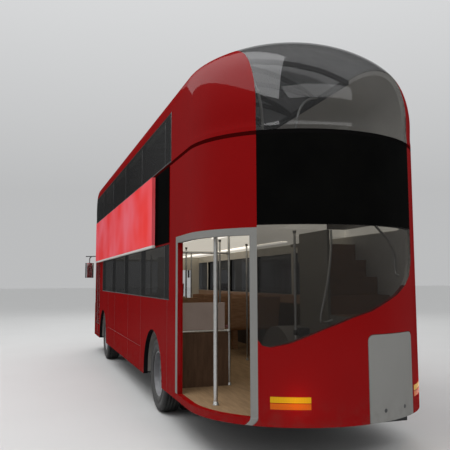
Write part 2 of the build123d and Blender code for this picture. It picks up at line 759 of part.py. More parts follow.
# Tanks under the floor: a fuel tank on the offside and two air tanks on the nearside, on brackets
tank_x = (from_rear(4500), from_rear(5200))
with BuildPart() as floor_tanks:
    floor_under = floor_z - floor_thickness
    with BuildSketch(Plane.YZ.offset(tank_x[0])):
        with Locations((-770, 290)):
            RectangleRounded(580, 220, 60)
    extrude(amount=tank_x[1] - tank_x[0])
    for x in tank_x:
        block(sorted((x, x + (60 if x == tank_x[0] else -60))), (-1040, -500), (300, floor_under))
    for y in (600, 870):
        rod((tank_x[0], y, 300), (tank_x[1], y, 300), 100)
        for x in (tank_x[0] + 120, tank_x[1] - 160):
            block((x, x + 40), (y - 50, y + 50), (300, floor_under))
save(floor_tanks.part, "floor_tanks")

# Seats: moulded plywood benches for two, each on a pedestal, in rows on both decks
bench_width = 850
bench_thickness = 22
seat_height = 430
seat_depth = 400
back_height = 540
aisle_half = 290
row_pitch = bay / 2
lower_rows = [from_rear(4250 + n * row_pitch) for n in range(4)]
upper_rows = [from_rear(2750 + n * row_pitch) for n in range(10)]
pad_width = 395
pad_thickness = 45
seat_slope = Vector(seat_depth, 0, 20).normalized()
back_slope = Vector(-110, 0, back_height).normalized()
benches = [(x, floor_z, side) for x in lower_rows for side in (-1, 1)]
benches += [(x, deck_z, side) for x in upper_rows for side in (-1, 1)]
benches += [(upper_rows[0] - row_pitch, deck_z, 1)]


def bend(x, floor):
    """Where the planes of a bench's seat and back meet."""
    return Vector(x + 30, 0, floor + seat_height)


def bench_section(x, floor):
    """Side view of a bench: seat and back in one bent sheet, in the sketch it is called in."""
    root = bend(x, floor)
    lip = root + seat_slope * seat_depth
    top = root + back_slope * back_height
    with BuildLine(Plane.XY) as outline:
        sheet = FilletPolyline((lip.X + 16, lip.Z - 46), (lip.X, lip.Z), (root.X, root.Z), (top.X, top.Z),
                               radius=(30, 70))
        offset(sheet, amount=bench_thickness, side=Side.LEFT, mode=Mode.REPLACE)
    make_face(outline.edges())


def pad_section(x, floor):
    """Side view of a bench's seat pad and back pad, in the sketch it is called in."""
    for slope, away, low, high in ((seat_slope, Vector(-seat_slope.Z, 0, seat_slope.X), 75, seat_depth - 25),
                                   (back_slope, Vector(back_slope.Z, 0, -back_slope.X), 120, back_height - 90)):
        corners = [bend(x, floor) + slope * run + away * out
                   for run, out in ((low, fit), (high, fit), (high, pad_thickness), (low, pad_thickness))]
        with BuildLine(Plane.XY) as outline:
            Polyline(*[(corner.X, corner.Z) for corner in corners], close=True)
        make_face(outline.edges())


with BuildPart() as seat_benches:
    for side in (-1, 1):
        y = side * (aisle_half + bench_width / 2)
        rows = [(x, floor) for x, floor, which in benches if which == side]
        with BuildSketch(Plane.XZ.offset(-y)) as sections:
            for x, floor in rows:
                bench_section(x, floor)
        extrude(sections.sketch, amount=bench_width / 2, both=True)
        for x, floor in rows:
            block((x + 150, x + 270), (y - 40, y + 40), (floor, floor + seat_height - bench_thickness / 2))
save(seat_benches.part, "seat_benches")

with BuildPart() as seat_pads:
    for side in (-1, 1):
        rows = [(x, floor) for x, floor, which in benches if which == side]
        for place in (-1, 1):
            y = side * (aisle_half + bench_width / 2) + place * bench_width / 4
            with BuildSketch(Plane.XZ.offset(-y)) as sections:
                for x, floor in rows:
                    pad_section(x, floor)
            extrude(sections.sketch, amount=pad_width / 2, both=True)
save(seat_pads.part, "seat_pads")

# Poles from floor to ceiling, as distance from the rear end, y and radius, and the rails at the entrance
pole_radius = 14.5
main_pole_radius = 22
ceiling_z = deck_z - deck_thickness
screen_x, screen_y = 1910, 545
rail_levels = (1105, 2030)
poles = [
    (930, 1030, main_pole_radius),
    (screen_x, screen_y, pole_radius),
    (1350, -60, pole_radius),
    (3000, 300, pole_radius),
    (3800, -410, pole_radius),
    (4970, 260, pole_radius),
    (6520, -260, pole_radius),
    (8000, 260, pole_radius),
]
with BuildPart() as handrails:
    for x, y, radius in poles:
        rod((from_rear(x), y, floor_z), (from_rear(x), y, ceiling_z), radius)
    for z in rail_levels:
        rod((from_rear(screen_x), screen_y, z), (from_rear(screen_x), half_width - wall, z), pole_radius)
save(handrails.part, "handrails")

# Draught screen behind the platform: a wooden panel under the entrance rail and a pale one over it
screen_thickness = 24
pale_screen_top = 1440
with BuildPart() as entrance_screen:
    for low, high, inner in ((floor_z, rail_levels[0] - pole_radius - fit, screen_y + pole_radius + fit),
                             (rail_levels[0] + pole_radius + fit, pale_screen_top, screen_y + 60)):
        block((from_rear(screen_x) - screen_thickness / 2, from_rear(screen_x) + screen_thickness / 2),
              (inner, half_width - wall - 20), (low, high))
save(entrance_screen.part, "entrance_screen")

# Driver's cab: a partition behind, a dash ahead and a side door towards the aisle
cab_rear = from_rear(9200)
cab_door_x = (cab_rear + 45, cab_rear + 800)
cab_y = -150
cab_panel = 30
cab_top = 1400
dash_rear = cab_door_x[1] + 45
cab_hinge_x, cab_hinge_y = cab_door_x[1] + 5, cab_y + 15
hinge_levels = (700, 1200)
hinge_length = 100
with BuildPart() as cab_partition:
    block((cab_rear, cab_rear + cab_panel), (-half_width + wall, cab_y), (floor_z, ceiling_z))
    cut(everything, (-half_width + 260, cab_y - 160), (1250, 1950))
    block((cab_door_x[1] + 10, dash_rear), (cab_y - cab_panel, cab_y), (floor_z, ceiling_z))
    for z in hinge_levels:
        block((cab_hinge_x, cab_hinge_x + 15), (cab_y, cab_hinge_y), (z - hinge_length, z))
        with Locations((cab_hinge_x, cab_hinge_y, z)):
            Cylinder(8, hinge_length, align=(Align.CENTER, Align.CENTER, Align.MAX))
save(cab_partition.part, "cab_partition")

with BuildPart() as cab_door:
    block(cab_door_x, (cab_y - cab_panel, cab_y), (floor_z + 15, cab_top))
    for z in hinge_levels:
        block((cab_hinge_x - 15, cab_hinge_x), (cab_y, cab_hinge_y), (z + fit, z + hinge_length))
        with Locations((cab_hinge_x, cab_hinge_y, z + fit)):
            Cylinder(8, hinge_length - fit, align=(Align.CENTER, Align.CENTER, Align.MIN))
save(cab_door.part, "cab_door")

wheel_tilt = 25
column_radius = 32
column_foot = Vector(dash_rear + 130, -650, 880)
column_way = Vector(0, 0, 1).rotate(Axis.Y, -wheel_tilt)
column_length = 330
spigot_radius = 18
with BuildPart() as dash:
    with BuildSketch(Plane.XZ.offset(-cab_y)):
        with BuildLine():
            Polyline((dash_rear, floor_z), (dash_rear + 120, 930), (dash_rear + 420, 1140), (half_length, 1140),
                     (half_length, floor_z), close=True)
        make_face()
    extrude(amount=half_width)
    with BuildSketch(Plane.XY.offset(floor_z)) as room:
        plan_outline(skin=wall + 5)
    extrude(room.sketch, amount=1200, mode=Mode.INTERSECT)
    rod(column_foot, column_foot + column_way * column_length, column_radius)
    rod(column_foot + column_way * (column_length - 80), column_foot + column_way * (column_length + 1),
        spigot_radius + running, Mode.SUBTRACT)
save(dash.part, "dash")

# Steering wheel on a spigot that turns in the column's bore
with BuildPart() as steering_wheel:
    hub = column_foot + column_way * (column_length + 5)
    with BuildSketch(Plane(origin=tuple(hub), x_dir=(0, 1, 0), z_dir=tuple(column_way))):
        Circle(225)
        Circle(197, mode=Mode.SUBTRACT)
        for n in range(3):
            with Locations(Rotation(0, 0, 90 + 120 * n) * Pos(105, 0)):
                Rectangle(200, 34)
        Circle(48)
    extrude(amount=26)
    rod(hub - column_way * 70, hub, spigot_radius)
save(steering_wheel.part, "steering_wheel")

# Driver's seat on a pedestal
with BuildPart() as driver_seat:
    seat_x = dash_rear - 560
    block((seat_x + 60, seat_x + 400), (-820, -480), (floor_z, 820))
    block((seat_x, seat_x + 480), (-900, -400), (820, 930))
    with BuildSketch(Plane.XZ.offset(400)):
        with BuildLine():
            Polyline((seat_x - 20, 900), (seat_x + 90, 930), (seat_x + 20, 1640), (seat_x - 90, 1640), close=True)
        make_face()
    extrude(amount=500)
save(driver_seat.part, "driver_seat")

# Mirrors: heads hung from curved arms on the front corners
mirror_root = (from_rear(10340), 1120, 2320)
with BuildPart() as mirrors:
    for side in (-1, 1):
        root = Vector(mirror_root[0], side * mirror_root[1], mirror_root[2])
        out = root + Vector(140, side * 240, 0)
        with BuildLine() as arm:
            FilletPolyline(tuple(root), tuple(out), tuple(out - Vector(0, 0, 200)), radius=80)
        with BuildSketch(Plane(origin=tuple(root), z_dir=tuple(out - root))) as section:
            Circle(14)
        sweep(section.sketch, path=arm.line)
        head = out - Vector(0, 0, 360)
        with BuildSketch(Plane.XY.offset(head.Z - 190)):
            with Locations((head.X, head.Y)):
                RectangleRounded(90, 210, 40)
        extrude(amount=380)
    add(outer_body, mode=Mode.SUBTRACT)
save(mirrors.part, "mirrors")
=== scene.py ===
import math

import bmesh
import bpy
from mathutils import Matrix, Vector


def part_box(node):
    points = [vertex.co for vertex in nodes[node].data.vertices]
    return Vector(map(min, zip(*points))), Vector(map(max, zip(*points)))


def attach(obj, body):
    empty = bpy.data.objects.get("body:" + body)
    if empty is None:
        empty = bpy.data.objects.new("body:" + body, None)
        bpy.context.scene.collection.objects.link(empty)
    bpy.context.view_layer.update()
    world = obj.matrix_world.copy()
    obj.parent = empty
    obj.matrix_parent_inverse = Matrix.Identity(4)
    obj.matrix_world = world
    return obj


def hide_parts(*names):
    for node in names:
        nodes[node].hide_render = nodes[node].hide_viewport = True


# A two-deck city bus: finishes, small pieces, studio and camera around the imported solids.
# X points forward, Y to the nearside, Z up. Metres.

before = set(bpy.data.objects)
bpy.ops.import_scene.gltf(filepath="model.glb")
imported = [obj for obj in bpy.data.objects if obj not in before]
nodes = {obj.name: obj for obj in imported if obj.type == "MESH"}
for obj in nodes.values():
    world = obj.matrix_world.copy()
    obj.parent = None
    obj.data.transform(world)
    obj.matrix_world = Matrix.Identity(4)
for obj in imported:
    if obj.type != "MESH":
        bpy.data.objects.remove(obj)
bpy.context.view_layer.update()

# Places read from the frame, and sizes of the body
seam_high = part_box("seam_band")[1]
half_length = seam_high.x
half_width = seam_high.y
floor_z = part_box("lower_floor")[1].z
ceiling_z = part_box("upper_floor")[0].z
deck_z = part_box("upper_floor")[1].z
wall = 0.060
glass = 0.014
bow_radius = 1.400
corner_radius = 1.085
bow_x = half_length - bow_radius
bay = 1.550
first_pillar = 2.250
rear_glass_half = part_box("rear_upper_glass")[1].y
window_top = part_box("side_glass")[1].z
sides = (("nearside", 1), ("offside", -1))


def from_rear(distance):
    """X of a place that is given as its distance from the rear end."""
    return distance - half_length


def span(side, low, high):
    """Y limits between two distances from the centre line, on one side."""
    return (low, high) if side > 0 else (-high, -low)


# Node helpers
def new_material(name):
    """A material with its node tree and its main shader."""
    material = bpy.data.materials.new(name)
    material.use_nodes = True
    tree = material.node_tree
    return material, tree, tree.nodes["Principled BSDF"]


def settings(node, **values):
    """Sets inputs of a node, named with underscores for their spaces."""
    for name, value in values.items():
        node.inputs[name.replace("_", " ")].default_value = value


def feed(tree, socket, value):
    """Links a socket or sets a plain value."""
    if isinstance(value, bpy.types.NodeSocket):
        tree.links.new(value, socket)
    else:
        socket.default_value = value


def place(tree, stretch=(1, 1, 1), turn=(0, 0, 0)):
    """Position in the body's own frame, stretched and turned."""
    coordinates = tree.nodes.new("ShaderNodeTexCoord")
    mapping = tree.nodes.new("ShaderNodeMapping")
    settings(mapping, Scale=stretch, Rotation=turn)
    tree.links.new(coordinates.outputs["Object"], mapping.inputs["Vector"])
    return mapping.outputs["Vector"]


def noise(tree, scale, detail=4.0, roughness=0.55, stretch=(1, 1, 1)):
    """A cloudy value between 0 and 1."""
    texture = tree.nodes.new("ShaderNodeTexNoise")
    settings(texture, Scale=scale, Detail=detail, Roughness=roughness)
    tree.links.new(place(tree, stretch), texture.inputs["Vector"])
    return texture.outputs["Fac"]


def wave(tree, scale):
    """Even waves along Y, between 0 and 1."""
    texture = tree.nodes.new("ShaderNodeTexWave")
    texture.bands_direction = "Y"
    settings(texture, Scale=scale)
    tree.links.new(place(tree), texture.inputs["Vector"])
    return texture.outputs["Fac"]


def remap(tree, value, low, high, to_low=0.0, to_high=1.0):
    """A clamped change of range."""
    step = tree.nodes.new("ShaderNodeMapRange")
    feed(tree, step.inputs["Value"], value)
    settings(step, From_Min=low, From_Max=high, To_Min=to_low, To_Max=to_high)
    return step.outputs["Result"]


def calc(tree, operation, first, second=0.0):
    """One operation on one or two values."""
    step = tree.nodes.new("ShaderNodeMath")
    step.operation = operation
    feed(tree, step.inputs[0], first)
    feed(tree, step.inputs[1], second)
    return step.outputs[0]


def blend_colour(tree, factor, first, second):
    """The first colour at factor 0, the second at 1."""
    step = tree.nodes.new("ShaderNodeMix")
    step.data_type = "RGBA"
    feed(tree, step.inputs["Factor"], factor)
    feed(tree, step.inputs["A"], first)
    feed(tree, step.inputs["B"], second)
    return step.outputs["Result"]


def clouded(tree, scale, detail, first, second):
    """Cloudy patches of two colours."""
    return blend_colour(tree, remap(tree, noise(tree, scale, detail), 0.3, 0.7), first, second)


def axis_value(tree, axis):
    """One coordinate of the position."""
    split = tree.nodes.new("ShaderNodeSeparateXYZ")
    tree.links.new(place(tree), split.inputs["Vector"])
    return split.outputs[axis]


def set_roughness(shader, texture, low, high):
    """Roughness that drifts between two values with a texture."""
    tree = shader.id_data
    tree.links.new(remap(tree, texture, 0.3, 0.7, low, high), shader.inputs["Roughness"])


def set_colour(shader, colour, emission=None):
    """Base colour and, if an emission strength is given, the same colour lit."""
    tree = shader.id_data
    tree.links.new(colour, shader.inputs["Base Color"])
    if emission is not None:
        tree.links.new(colour, shader.inputs["Emission Color"])
        settings(shader, Emission_Strength=emission)


def add_bump(shader, height, strength, distance):
    """Bump, chained to any that the shader already has."""
    tree = shader.id_data
    bump = tree.nodes.new("ShaderNodeBump")
    settings(bump, Strength=strength, Distance=distance)
    feed(tree, bump.inputs["Height"], height)
    old = shader.inputs["Normal"].links
    if old:
        tree.links.new(old[0].from_socket, bump.inputs["Normal"])
    tree.links.new(bump.outputs["Normal"], shader.inputs["Normal"])


def facing_gloss(shader, weight, roughness=0.05, ior=1.45):
    """A clear coat that answers face on and fades out at grazing angles, over a base without gloss."""
    tree = shader.id_data
    facing = tree.nodes.new("ShaderNodeLayerWeight")
    settings(facing, Blend=0.5)
    tree.links.new(remap(tree, facing.outputs["Facing"], 0.45, 0.85, weight, weight * 0.12),
                   shader.inputs["Coat Weight"])
    settings(shader, Specular_IOR_Level=0.0, Coat_Roughness=roughness, Coat_IOR=ior)


def rgb(red, green, blue):
    """An opaque colour."""
    return (red, green, blue, 1.0)


def darker(colour, share):
    """A colour times a share, still opaque."""
    return rgb(*(part * share for part in colour[:3]))


# Materials
def coated_paint(name, colour, roughness=0.36, coat=0.10):
    """Sprayed paint under a clear coat: faint unevenness, and dust towards the road."""
    material, tree, shader = new_material(name)
    base = clouded(tree, 1.3, 3, darker(colour, 0.94), colour)
    low = remap(tree, axis_value(tree, "Z"), 0.38, 0.80, 1.0, 0.0)
    speck = remap(tree, noise(tree, 9, 6, 0.65), 0.42, 0.75)
    strength = calc(tree, "MULTIPLY", speck, 0.35)
    soil = calc(tree, "MULTIPLY", calc(tree, "MULTIPLY", low, low), strength)
    set_colour(shader, blend_colour(tree, soil, base, rgb(0.07, 0.055, 0.045)))
    set_roughness(shader, noise(tree, 5, 4), roughness - 0.04, roughness + 0.05)
    facing_gloss(shader, coat)
    add_bump(shader, noise(tree, 260, 2), 0.04, 0.0004)
    add_bump(shader, noise(tree, 0.9, 1), 0.10, 0.012)
    return material


def plastic(name, colour, roughness=0.5, grain=700, depth=0.0002, metallic=0.0, specular=0.5):
    """Moulded plastic or plain paint with a fine grain and slight colour drift."""
    material, tree, shader = new_material(name)
    set_colour(shader, clouded(tree, 4, 4, darker(colour, 0.86), colour))
    set_roughness(shader, noise(tree, 11, 5), roughness - 0.06, roughness + 0.08)
    settings(shader, Metallic=metallic, Specular_IOR_Level=specular)
    add_bump(shader, noise(tree, grain, 2), 0.35, depth)
    return material


def brushed(name, colour, roughness=0.3, stretch=(1, 1, 0.03)):
    """Brushed or drawn metal with marks along one axis."""
    material, tree, shader = new_material(name)
    marks = noise(tree, 420, 3, 0.6, stretch)
    streak = remap(tree, marks, 0.35, 0.65)
    set_colour(shader, blend_colour(tree, streak, darker(colour, 0.8), colour))
    set_roughness(shader, marks, roughness - 0.08, roughness + 0.1)
    settings(shader, Metallic=1.0)
    add_bump(shader, marks, 0.15, 0.0002)
    return material


def tinted_glass(name, colour, cover, roughness=0.03, gloss=None, coat_ior=1.45):
    """A thin tinted pane: part see-through, glossy and faintly uneven."""
    material, tree, shader = new_material(name)
    haze = remap(tree, noise(tree, 2.1, 4), 0.35, 0.7, 0.0, 1.0)
    set_colour(shader, blend_colour(tree, haze, colour, darker(colour, 1.25)))
    drift = remap(tree, noise(tree, 1.7, 3), 0.3, 0.7, cover - 0.02, cover + 0.03)
    tree.links.new(drift, shader.inputs["Alpha"])
    set_roughness(shader, noise(tree, 6, 4), roughness * 0.7, roughness * 1.6)
    settings(shader, IOR=1.3, Specular_IOR_Level=0.4)
    if gloss:
        facing_gloss(shader, gloss, roughness, coat_ior)
    add_bump(shader, noise(tree, 1.1, 1), 0.08, 0.01)
    return material


def wood(name, light, dark, scale=1.0, along=(0.12, 1, 1), roughness=0.42, coat=0.15):
    """Veneer or boards with grain along one axis."""
    material, tree, shader = new_material(name)
    stretch = tuple(scale * share for share in along)
    rings = noise(tree, 26, 5, 0.6, stretch)
    fine = noise(tree, 240, 3, 0.6, stretch)
    grain = calc(tree, "ADD", calc(tree, "MULTIPLY", rings, 0.7), calc(tree, "MULTIPLY", fine, 0.3))
    set_colour(shader, blend_colour(tree, remap(tree, grain, 0.38, 0.62), dark, light))
    set_roughness(shader, fine, roughness - 0.05, roughness + 0.08)
    facing_gloss(shader, coat, 0.2)
    add_bump(shader, fine, 0.12, 0.0004)
    return material


def rubber(name, colour, roughness=0.75):
    """Dull rubber with road dust in patches."""
    material, tree, shader = new_material(name)
    dust = remap(tree, noise(tree, 14, 6, 0.65), 0.45, 0.8)
    set_colour(shader, blend_colour(tree, dust, colour, rgb(0.034, 0.031, 0.028)))
    set_roughness(shader, noise(tree, 60, 4), roughness - 0.1, roughness + 0.1)
    add_bump(shader, noise(tree, 420, 4), 0.4, 0.0005)
    return material


def moquette(name):
    """Woven seat cloth: a deep red ground with small crossed bars in two paler tones and a nap."""
    material, tree, shader = new_material(name)
    check = tree.nodes.new("ShaderNodeTexChecker")
    settings(check, Scale=28, Color1=rgb(0.20, 0.012, 0.018), Color2=rgb(0.115, 0.012, 0.02))
    tree.links.new(place(tree, (1, 1, 1), (0.0, 0.0, 0.6)), check.inputs["Vector"])
    stripe = calc(tree, "MULTIPLY", remap(tree, wave(tree, 9), 0.90, 0.97), 0.6)
    base = blend_colour(tree, stripe, check.outputs["Color"], rgb(0.32, 0.22, 0.16))
    nap = noise(tree, 900, 3)
    base = blend_colour(tree, remap(tree, nap, 0.35, 0.7, 0, 0.35), base, rgb(0.05, 0.01, 0.012))
    set_colour(shader, base)
    settings(shader, Roughness=0.9, Sheen_Weight=0.4, Sheen_Roughness=0.4)
    add_bump(shader, nap, 0.5, 0.0008)
    return material


def lamp_lens(name, split, low_colour, high_colour, power):
    """A ribbed lamp lens, lit, with one colour below a height and another above."""
    material, tree, shader = new_material(name)
    over = remap(tree, axis_value(tree, "Z"), split - 0.001, split + 0.001)
    base = blend_colour(tree, over, low_colour, high_colour)
    ribs = wave(tree, 24)
    shade = remap(tree, ribs, 0, 1, 0, 0.25)
    set_colour(shader, blend_colour(tree, shade, base, darker(high_colour, 0.6)), power)
    settings(shader, Roughness=0.2, Specular_IOR_Level=0.1, Coat_Weight=0.08)
    add_bump(shader, ribs, 0.4, 0.001)
    return material


def head_lamp(name, middles, height, radius):
    """A pair of round reflectors in a silver housing, on each side of the centre line. Each reflector
    is a flat disc with a painted reflection, bright in the middle and darker towards its rim.
    """
    material, tree, shader = new_material(name)
    across = calc(tree, "ABSOLUTE", axis_value(tree, "Y"))
    rise = calc(tree, "SUBTRACT", axis_value(tree, "Z"), height)
    near = 1.0
    for middle in middles:
        along = calc(tree, "SUBTRACT", across, middle)
        squares = calc(tree, "MULTIPLY", along, along)
        squares = calc(tree, "ADD", squares, calc(tree, "MULTIPLY", rise, rise))
        near = calc(tree, "MINIMUM", calc(tree, "SQRT", squares), near)
    bowl = remap(tree, near, radius - 0.001, radius, 1.0, 0.0)
    # Painted reflection in each bowl: pale in the middle, fading to dark grey at the rim.
    fall = remap(tree, near, 0.006, radius)
    depth = blend_colour(tree, fall, rgb(0.80, 0.82, 0.84), rgb(0.22, 0.225, 0.235))
    base = blend_colour(tree, bowl, rgb(0.30, 0.305, 0.31), depth)
    rim = calc(tree, "ABSOLUTE", calc(tree, "SUBTRACT", near, radius + 0.002))
    base = blend_colour(tree, remap(tree, rim, 0.0015, 0.0025, 1.0, 0.0), base, rgb(0.03, 0.03, 0.03))
    set_colour(shader, base)
    set_roughness(shader, noise(tree, 14, 3), 0.12, 0.2)
    facing_gloss(shader, 0.6, 0.03)
    return material


def display_face(name):
    """A blank dark display behind glass: near black, with slight cloudiness."""
    material, tree, shader = new_material(name)
    base = clouded(tree, 2.2, 3, rgb(0.0012, 0.0012, 0.0012), rgb(0.0025, 0.0025, 0.0022))
    set_colour(shader, base)
    set_roughness(shader, noise(tree, 3, 3), 0.16, 0.26)
    facing_gloss(shader, 0.05, 0.08)
    add_bump(shader, noise(tree, 1.0, 1), 0.08, 0.01)
    return material


def board_face(name):
    """The bare advertising board: a soft wash from rose to orange red along its length."""
    material, tree, shader = new_material(name)
    along = remap(tree, axis_value(tree, "X"), -2.7, 4.0)
    rise = remap(tree, axis_value(tree, "Z"), 2.2, 3.06)
    wash = remap(tree, calc(tree, "ADD", along, calc(tree, "MULTIPLY", rise, 0.35)), 0.1, 0.9)
    base = blend_colour(tree, wash, rgb(0.90, 0.058, 0.053), rgb(0.81, 0.060, 0.064))
    cloud = remap(tree, noise(tree, 0.8, 2), 0.35, 0.65, 0.0, 0.6)
    base = blend_colour(tree, cloud, base, rgb(0.84, 0.21, 0.27))
    facing_gloss(shader, 0.15, 0.15)
    set_colour(shader, base)
    set_roughness(shader, noise(tree, 8, 4), 0.32, 0.42)
    add_bump(shader, noise(tree, 300, 2), 0.05, 0.0003)
    return material


def seam_face(name):
    """The band over the lower panels: near black over the glazed ends, dark red elsewhere."""
    material, tree, shader = new_material(name)
    across = calc(tree, "ABSOLUTE", axis_value(tree, "Y"))
    over_red = remap(tree, across, rear_glass_half - 0.003, rear_glass_half + 0.003)
    cloud = remap(tree, noise(tree, 6, 4), 0.3, 0.7, 0.8, 1.0)
    base = blend_colour(tree, over_red, rgb(0.004, 0.004, 0.004), rgb(0.045, 0.0015, 0.0015))
    set_colour(shader, blend_colour(tree, cloud, rgb(0.003, 0.001, 0.001), base))
    set_roughness(shader, noise(tree, 9, 4), 0.45, 0.6)
    settings(shader, Specular_IOR_Level=0.0)
    return material


def saloon_wall(name, band_z, sill_z, soft=0.002):
    """Inner side lining: dark wood up to a wood band, and pale above the sills."""
    material, tree, shader = new_material(name)
    rise = axis_value(tree, "Z")
    grain = remap(tree, noise(tree, 30, 5, 0.6, (0.12, 1, 1)), 0.35, 0.65)
    band = blend_colour(tree, grain, rgb(0.27, 0.15, 0.085), rgb(0.36, 0.21, 0.125))
    foot = blend_colour(tree, grain, rgb(0.030, 0.018, 0.013), rgb(0.045, 0.028, 0.02))
    pale = clouded(tree, 4, 4, rgb(0.52, 0.49, 0.43), rgb(0.60, 0.57, 0.50))
    base = blend_colour(tree, remap(tree, rise, band_z - soft, band_z + soft), foot, band)
    base = blend_colour(tree, remap(tree, rise, sill_z - soft, sill_z + soft), base, pale)
    set_colour(shader, base)
    set_roughness(shader, noise(tree, 12, 4), 0.42, 0.55)
    add_bump(shader, noise(tree, 500, 2), 0.2, 0.0002)
    return material


def painted_glow_lining(name, colour, power):
    """Pale ceiling lining with painted light: it glows with its own colour, in place of the daylight
    that lights a saloon's ceiling.
    """
    material, tree, shader = new_material(name)
    set_colour(shader, clouded(tree, 2.5, 3, darker(colour, 0.94), colour), power)
    set_roughness(shader, noise(tree, 9, 3), 0.5, 0.62)
    add_bump(shader, noise(tree, 400, 2), 0.2, 0.0002)
    return material


def glow(name, colour, power):
    """A lit diffuser with slight mottling."""
    material, tree, shader = new_material(name)
    set_colour(shader, clouded(tree, 20, 3, darker(colour, 0.92), colour), power)
    return material


red = coated_paint("red_paint", rgb(0.215, 0.001, 0.0015), coat=0.22)
grey = coated_paint("grey_paint", rgb(0.225, 0.223, 0.212), 0.42, 0.05)
black = plastic("black_trim", rgb(0.008, 0.008, 0.009), 0.45, specular=0.03)
seam_paint = seam_face("seam_paint")
seal = rubber("seal_rubber", rgb(0.014, 0.014, 0.014), 0.6)
lining = plastic("cream_lining", rgb(0.66, 0.61, 0.52), 0.5)
dark_lining = plastic("grey_lining", rgb(0.20, 0.19, 0.175), 0.6)
corner_lining = plastic("corner_lining", rgb(0.56, 0.545, 0.51), 0.55)
stair_wall_paint = plastic("stair_wall_paint", rgb(0.175, 0.165, 0.14), 0.55)
pale_trim = plastic("pale_trim", rgb(0.58, 0.57, 0.54), 0.45)
display = display_face("display_face")
board = board_face("board_face")
wall_lining = saloon_wall("wall_lining", 1.330, 1.465)
# Painted light: the ceiling and upper deck linings glow, standing in for the daylight in the saloons.
ceiling_lining_painted_glow = painted_glow_lining("ceiling_lining_painted_glow", rgb(0.82, 0.78, 0.68), 0.62)
upper_lining_painted_glow = painted_glow_lining("upper_lining_painted_glow", rgb(0.72, 0.70, 0.64), 0.10)
beige = plastic("beige_panel", rgb(0.34, 0.27, 0.24), 0.5)
side_pane = tinted_glass("side_pane", rgb(0.006, 0.006, 0.006), 0.80, gloss=0.6)
rear_pane = tinted_glass("rear_pane", rgb(0.010, 0.010, 0.010), 0.44, 0.02, gloss=0.55, coat_ior=1.8)
stair_pane = tinted_glass("stair_pane", rgb(0.012, 0.011, 0.010), 0.46, gloss=0.4)
roof_pane = tinted_glass("roof_pane", rgb(0.006, 0.006, 0.0065), 0.70, gloss=0.6)
clear_pane = tinted_glass("clear_pane", rgb(0.02, 0.022, 0.022), 0.14)
floor_wood = wood("floor_wood", rgb(0.275, 0.182, 0.105), rgb(0.205, 0.136, 0.079))
ply = wood("plywood", rgb(0.36, 0.21, 0.125), rgb(0.25, 0.14, 0.08), 1.4, (0.5, 0.15, 1), 0.35, 0.4)
step_wood = wood("step_wood", rgb(0.26, 0.155, 0.10), rgb(0.18, 0.105, 0.068),
                 1.4, (0.5, 0.15, 1), 0.4, 0.2)
brown = wood("brown_panel", rgb(0.108, 0.063, 0.040), rgb(0.070, 0.041, 0.026),
             1.2, (1, 1, 0.12), 0.4, 0.3)
cloth = moquette("moquette")
steel = brushed("rail_steel", rgb(0.56, 0.56, 0.545), 0.30)
dull_steel = brushed("socket_steel", rgb(0.34, 0.34, 0.33), 0.50)
chrome = brushed("mirror_glass", rgb(0.75, 0.76, 0.77), 0.08, (0.2, 0.2, 0.2))
dark_plastic = plastic("dark_plastic", rgb(0.03, 0.03, 0.032), 0.55)
chassis_black = plastic("chassis_paint", rgb(0.025, 0.025, 0.027), 0.7, 180, 0.0006)
rim_paint = plastic("rim_paint", rgb(0.28, 0.28, 0.29), 0.42, 260, 0.0003, 0.6)
tyre_rubber = rubber("tyre_rubber", rgb(0.012, 0.012, 0.012))
rear_light = lamp_lens("rear_light", 0.611, rgb(0.45, 0.075, 0.003), rgb(0.47, 0.27, 0.003), 0.18)
head_light = head_lamp("head_light", (0.805, 0.955), 0.760, 0.050)
ceiling_light = glow("ceiling_light", rgb(1.0, 0.95, 0.86), 1.0)
cove_light = glow("cove_light", rgb(0.55, 0.54, 0.50), 0.25)


# Finishes on the solids
spine_top = 3.1
stair_wall_y = -0.370
screen_split = 1.100
post_x = -4.0
header_z = ceiling_z - 0.17
mirror_facing = -0.95
leaf_stile, leaf_foot, leaf_head = 0.05, 0.15, 0.10


def paint_node(name, *materials, chooser=None):
    """Gives a solid its materials; chooser picks one of them for each face by centre and normal."""
    mesh = nodes[name].data
    mesh.materials.clear()
    for material in materials:
        mesh.materials.append(material)
    for polygon in mesh.polygons:
        polygon.material_index = chooser(polygon.center, polygon.normal) if chooser else 0


def inward(centre, normal):
    """1 if a face of the body's shell looks at its inside, and 0 if not."""
    spine = Vector((max(-bow_x, min(bow_x, centre.x)), 0, min(centre.z, spine_top)))
    return int((centre - spine).dot(normal) < -0.3 * (centre - spine).length)


def shell_face(centre, normal):
    """Red outside, lined inside, black where a pane lies over it and round the window cuts."""
    if inward(centre, normal):
        return 1
    on_flank = abs(centre.x) < bow_x and centre.z < window_top + glass
    if on_flank and abs(centre.y) < half_width - glass / 2:
        return 2
    return 0


for name in ("nearside_side_wall", "offside_side_wall"):
    paint_node(name, red, wall_lining, black, chooser=shell_face)
for name in ("nearside_upper_shell", "offside_upper_shell"):
    paint_node(name, red, upper_lining_painted_glow, black, chooser=shell_face)
for name in ("rear_lower_panel", "nearside_rear_panel", "front_dome", "front_lower_panel"):
    paint_node(name, red, corner_lining if name == "rear_lower_panel" else lining, chooser=inward)
paint_node("platform_frame", grey, red,
           chooser=lambda c, n: int(n.x < -0.7 and c.x > post_x and c.z < header_z))
paint_node("service_hatch", grey, chassis_black, chooser=inward)
paint_node("display_panels", display, lining, chooser=inward)
paint_node("lower_floor", floor_wood, chassis_black, chooser=lambda c, n: int(n.z < -0.5))
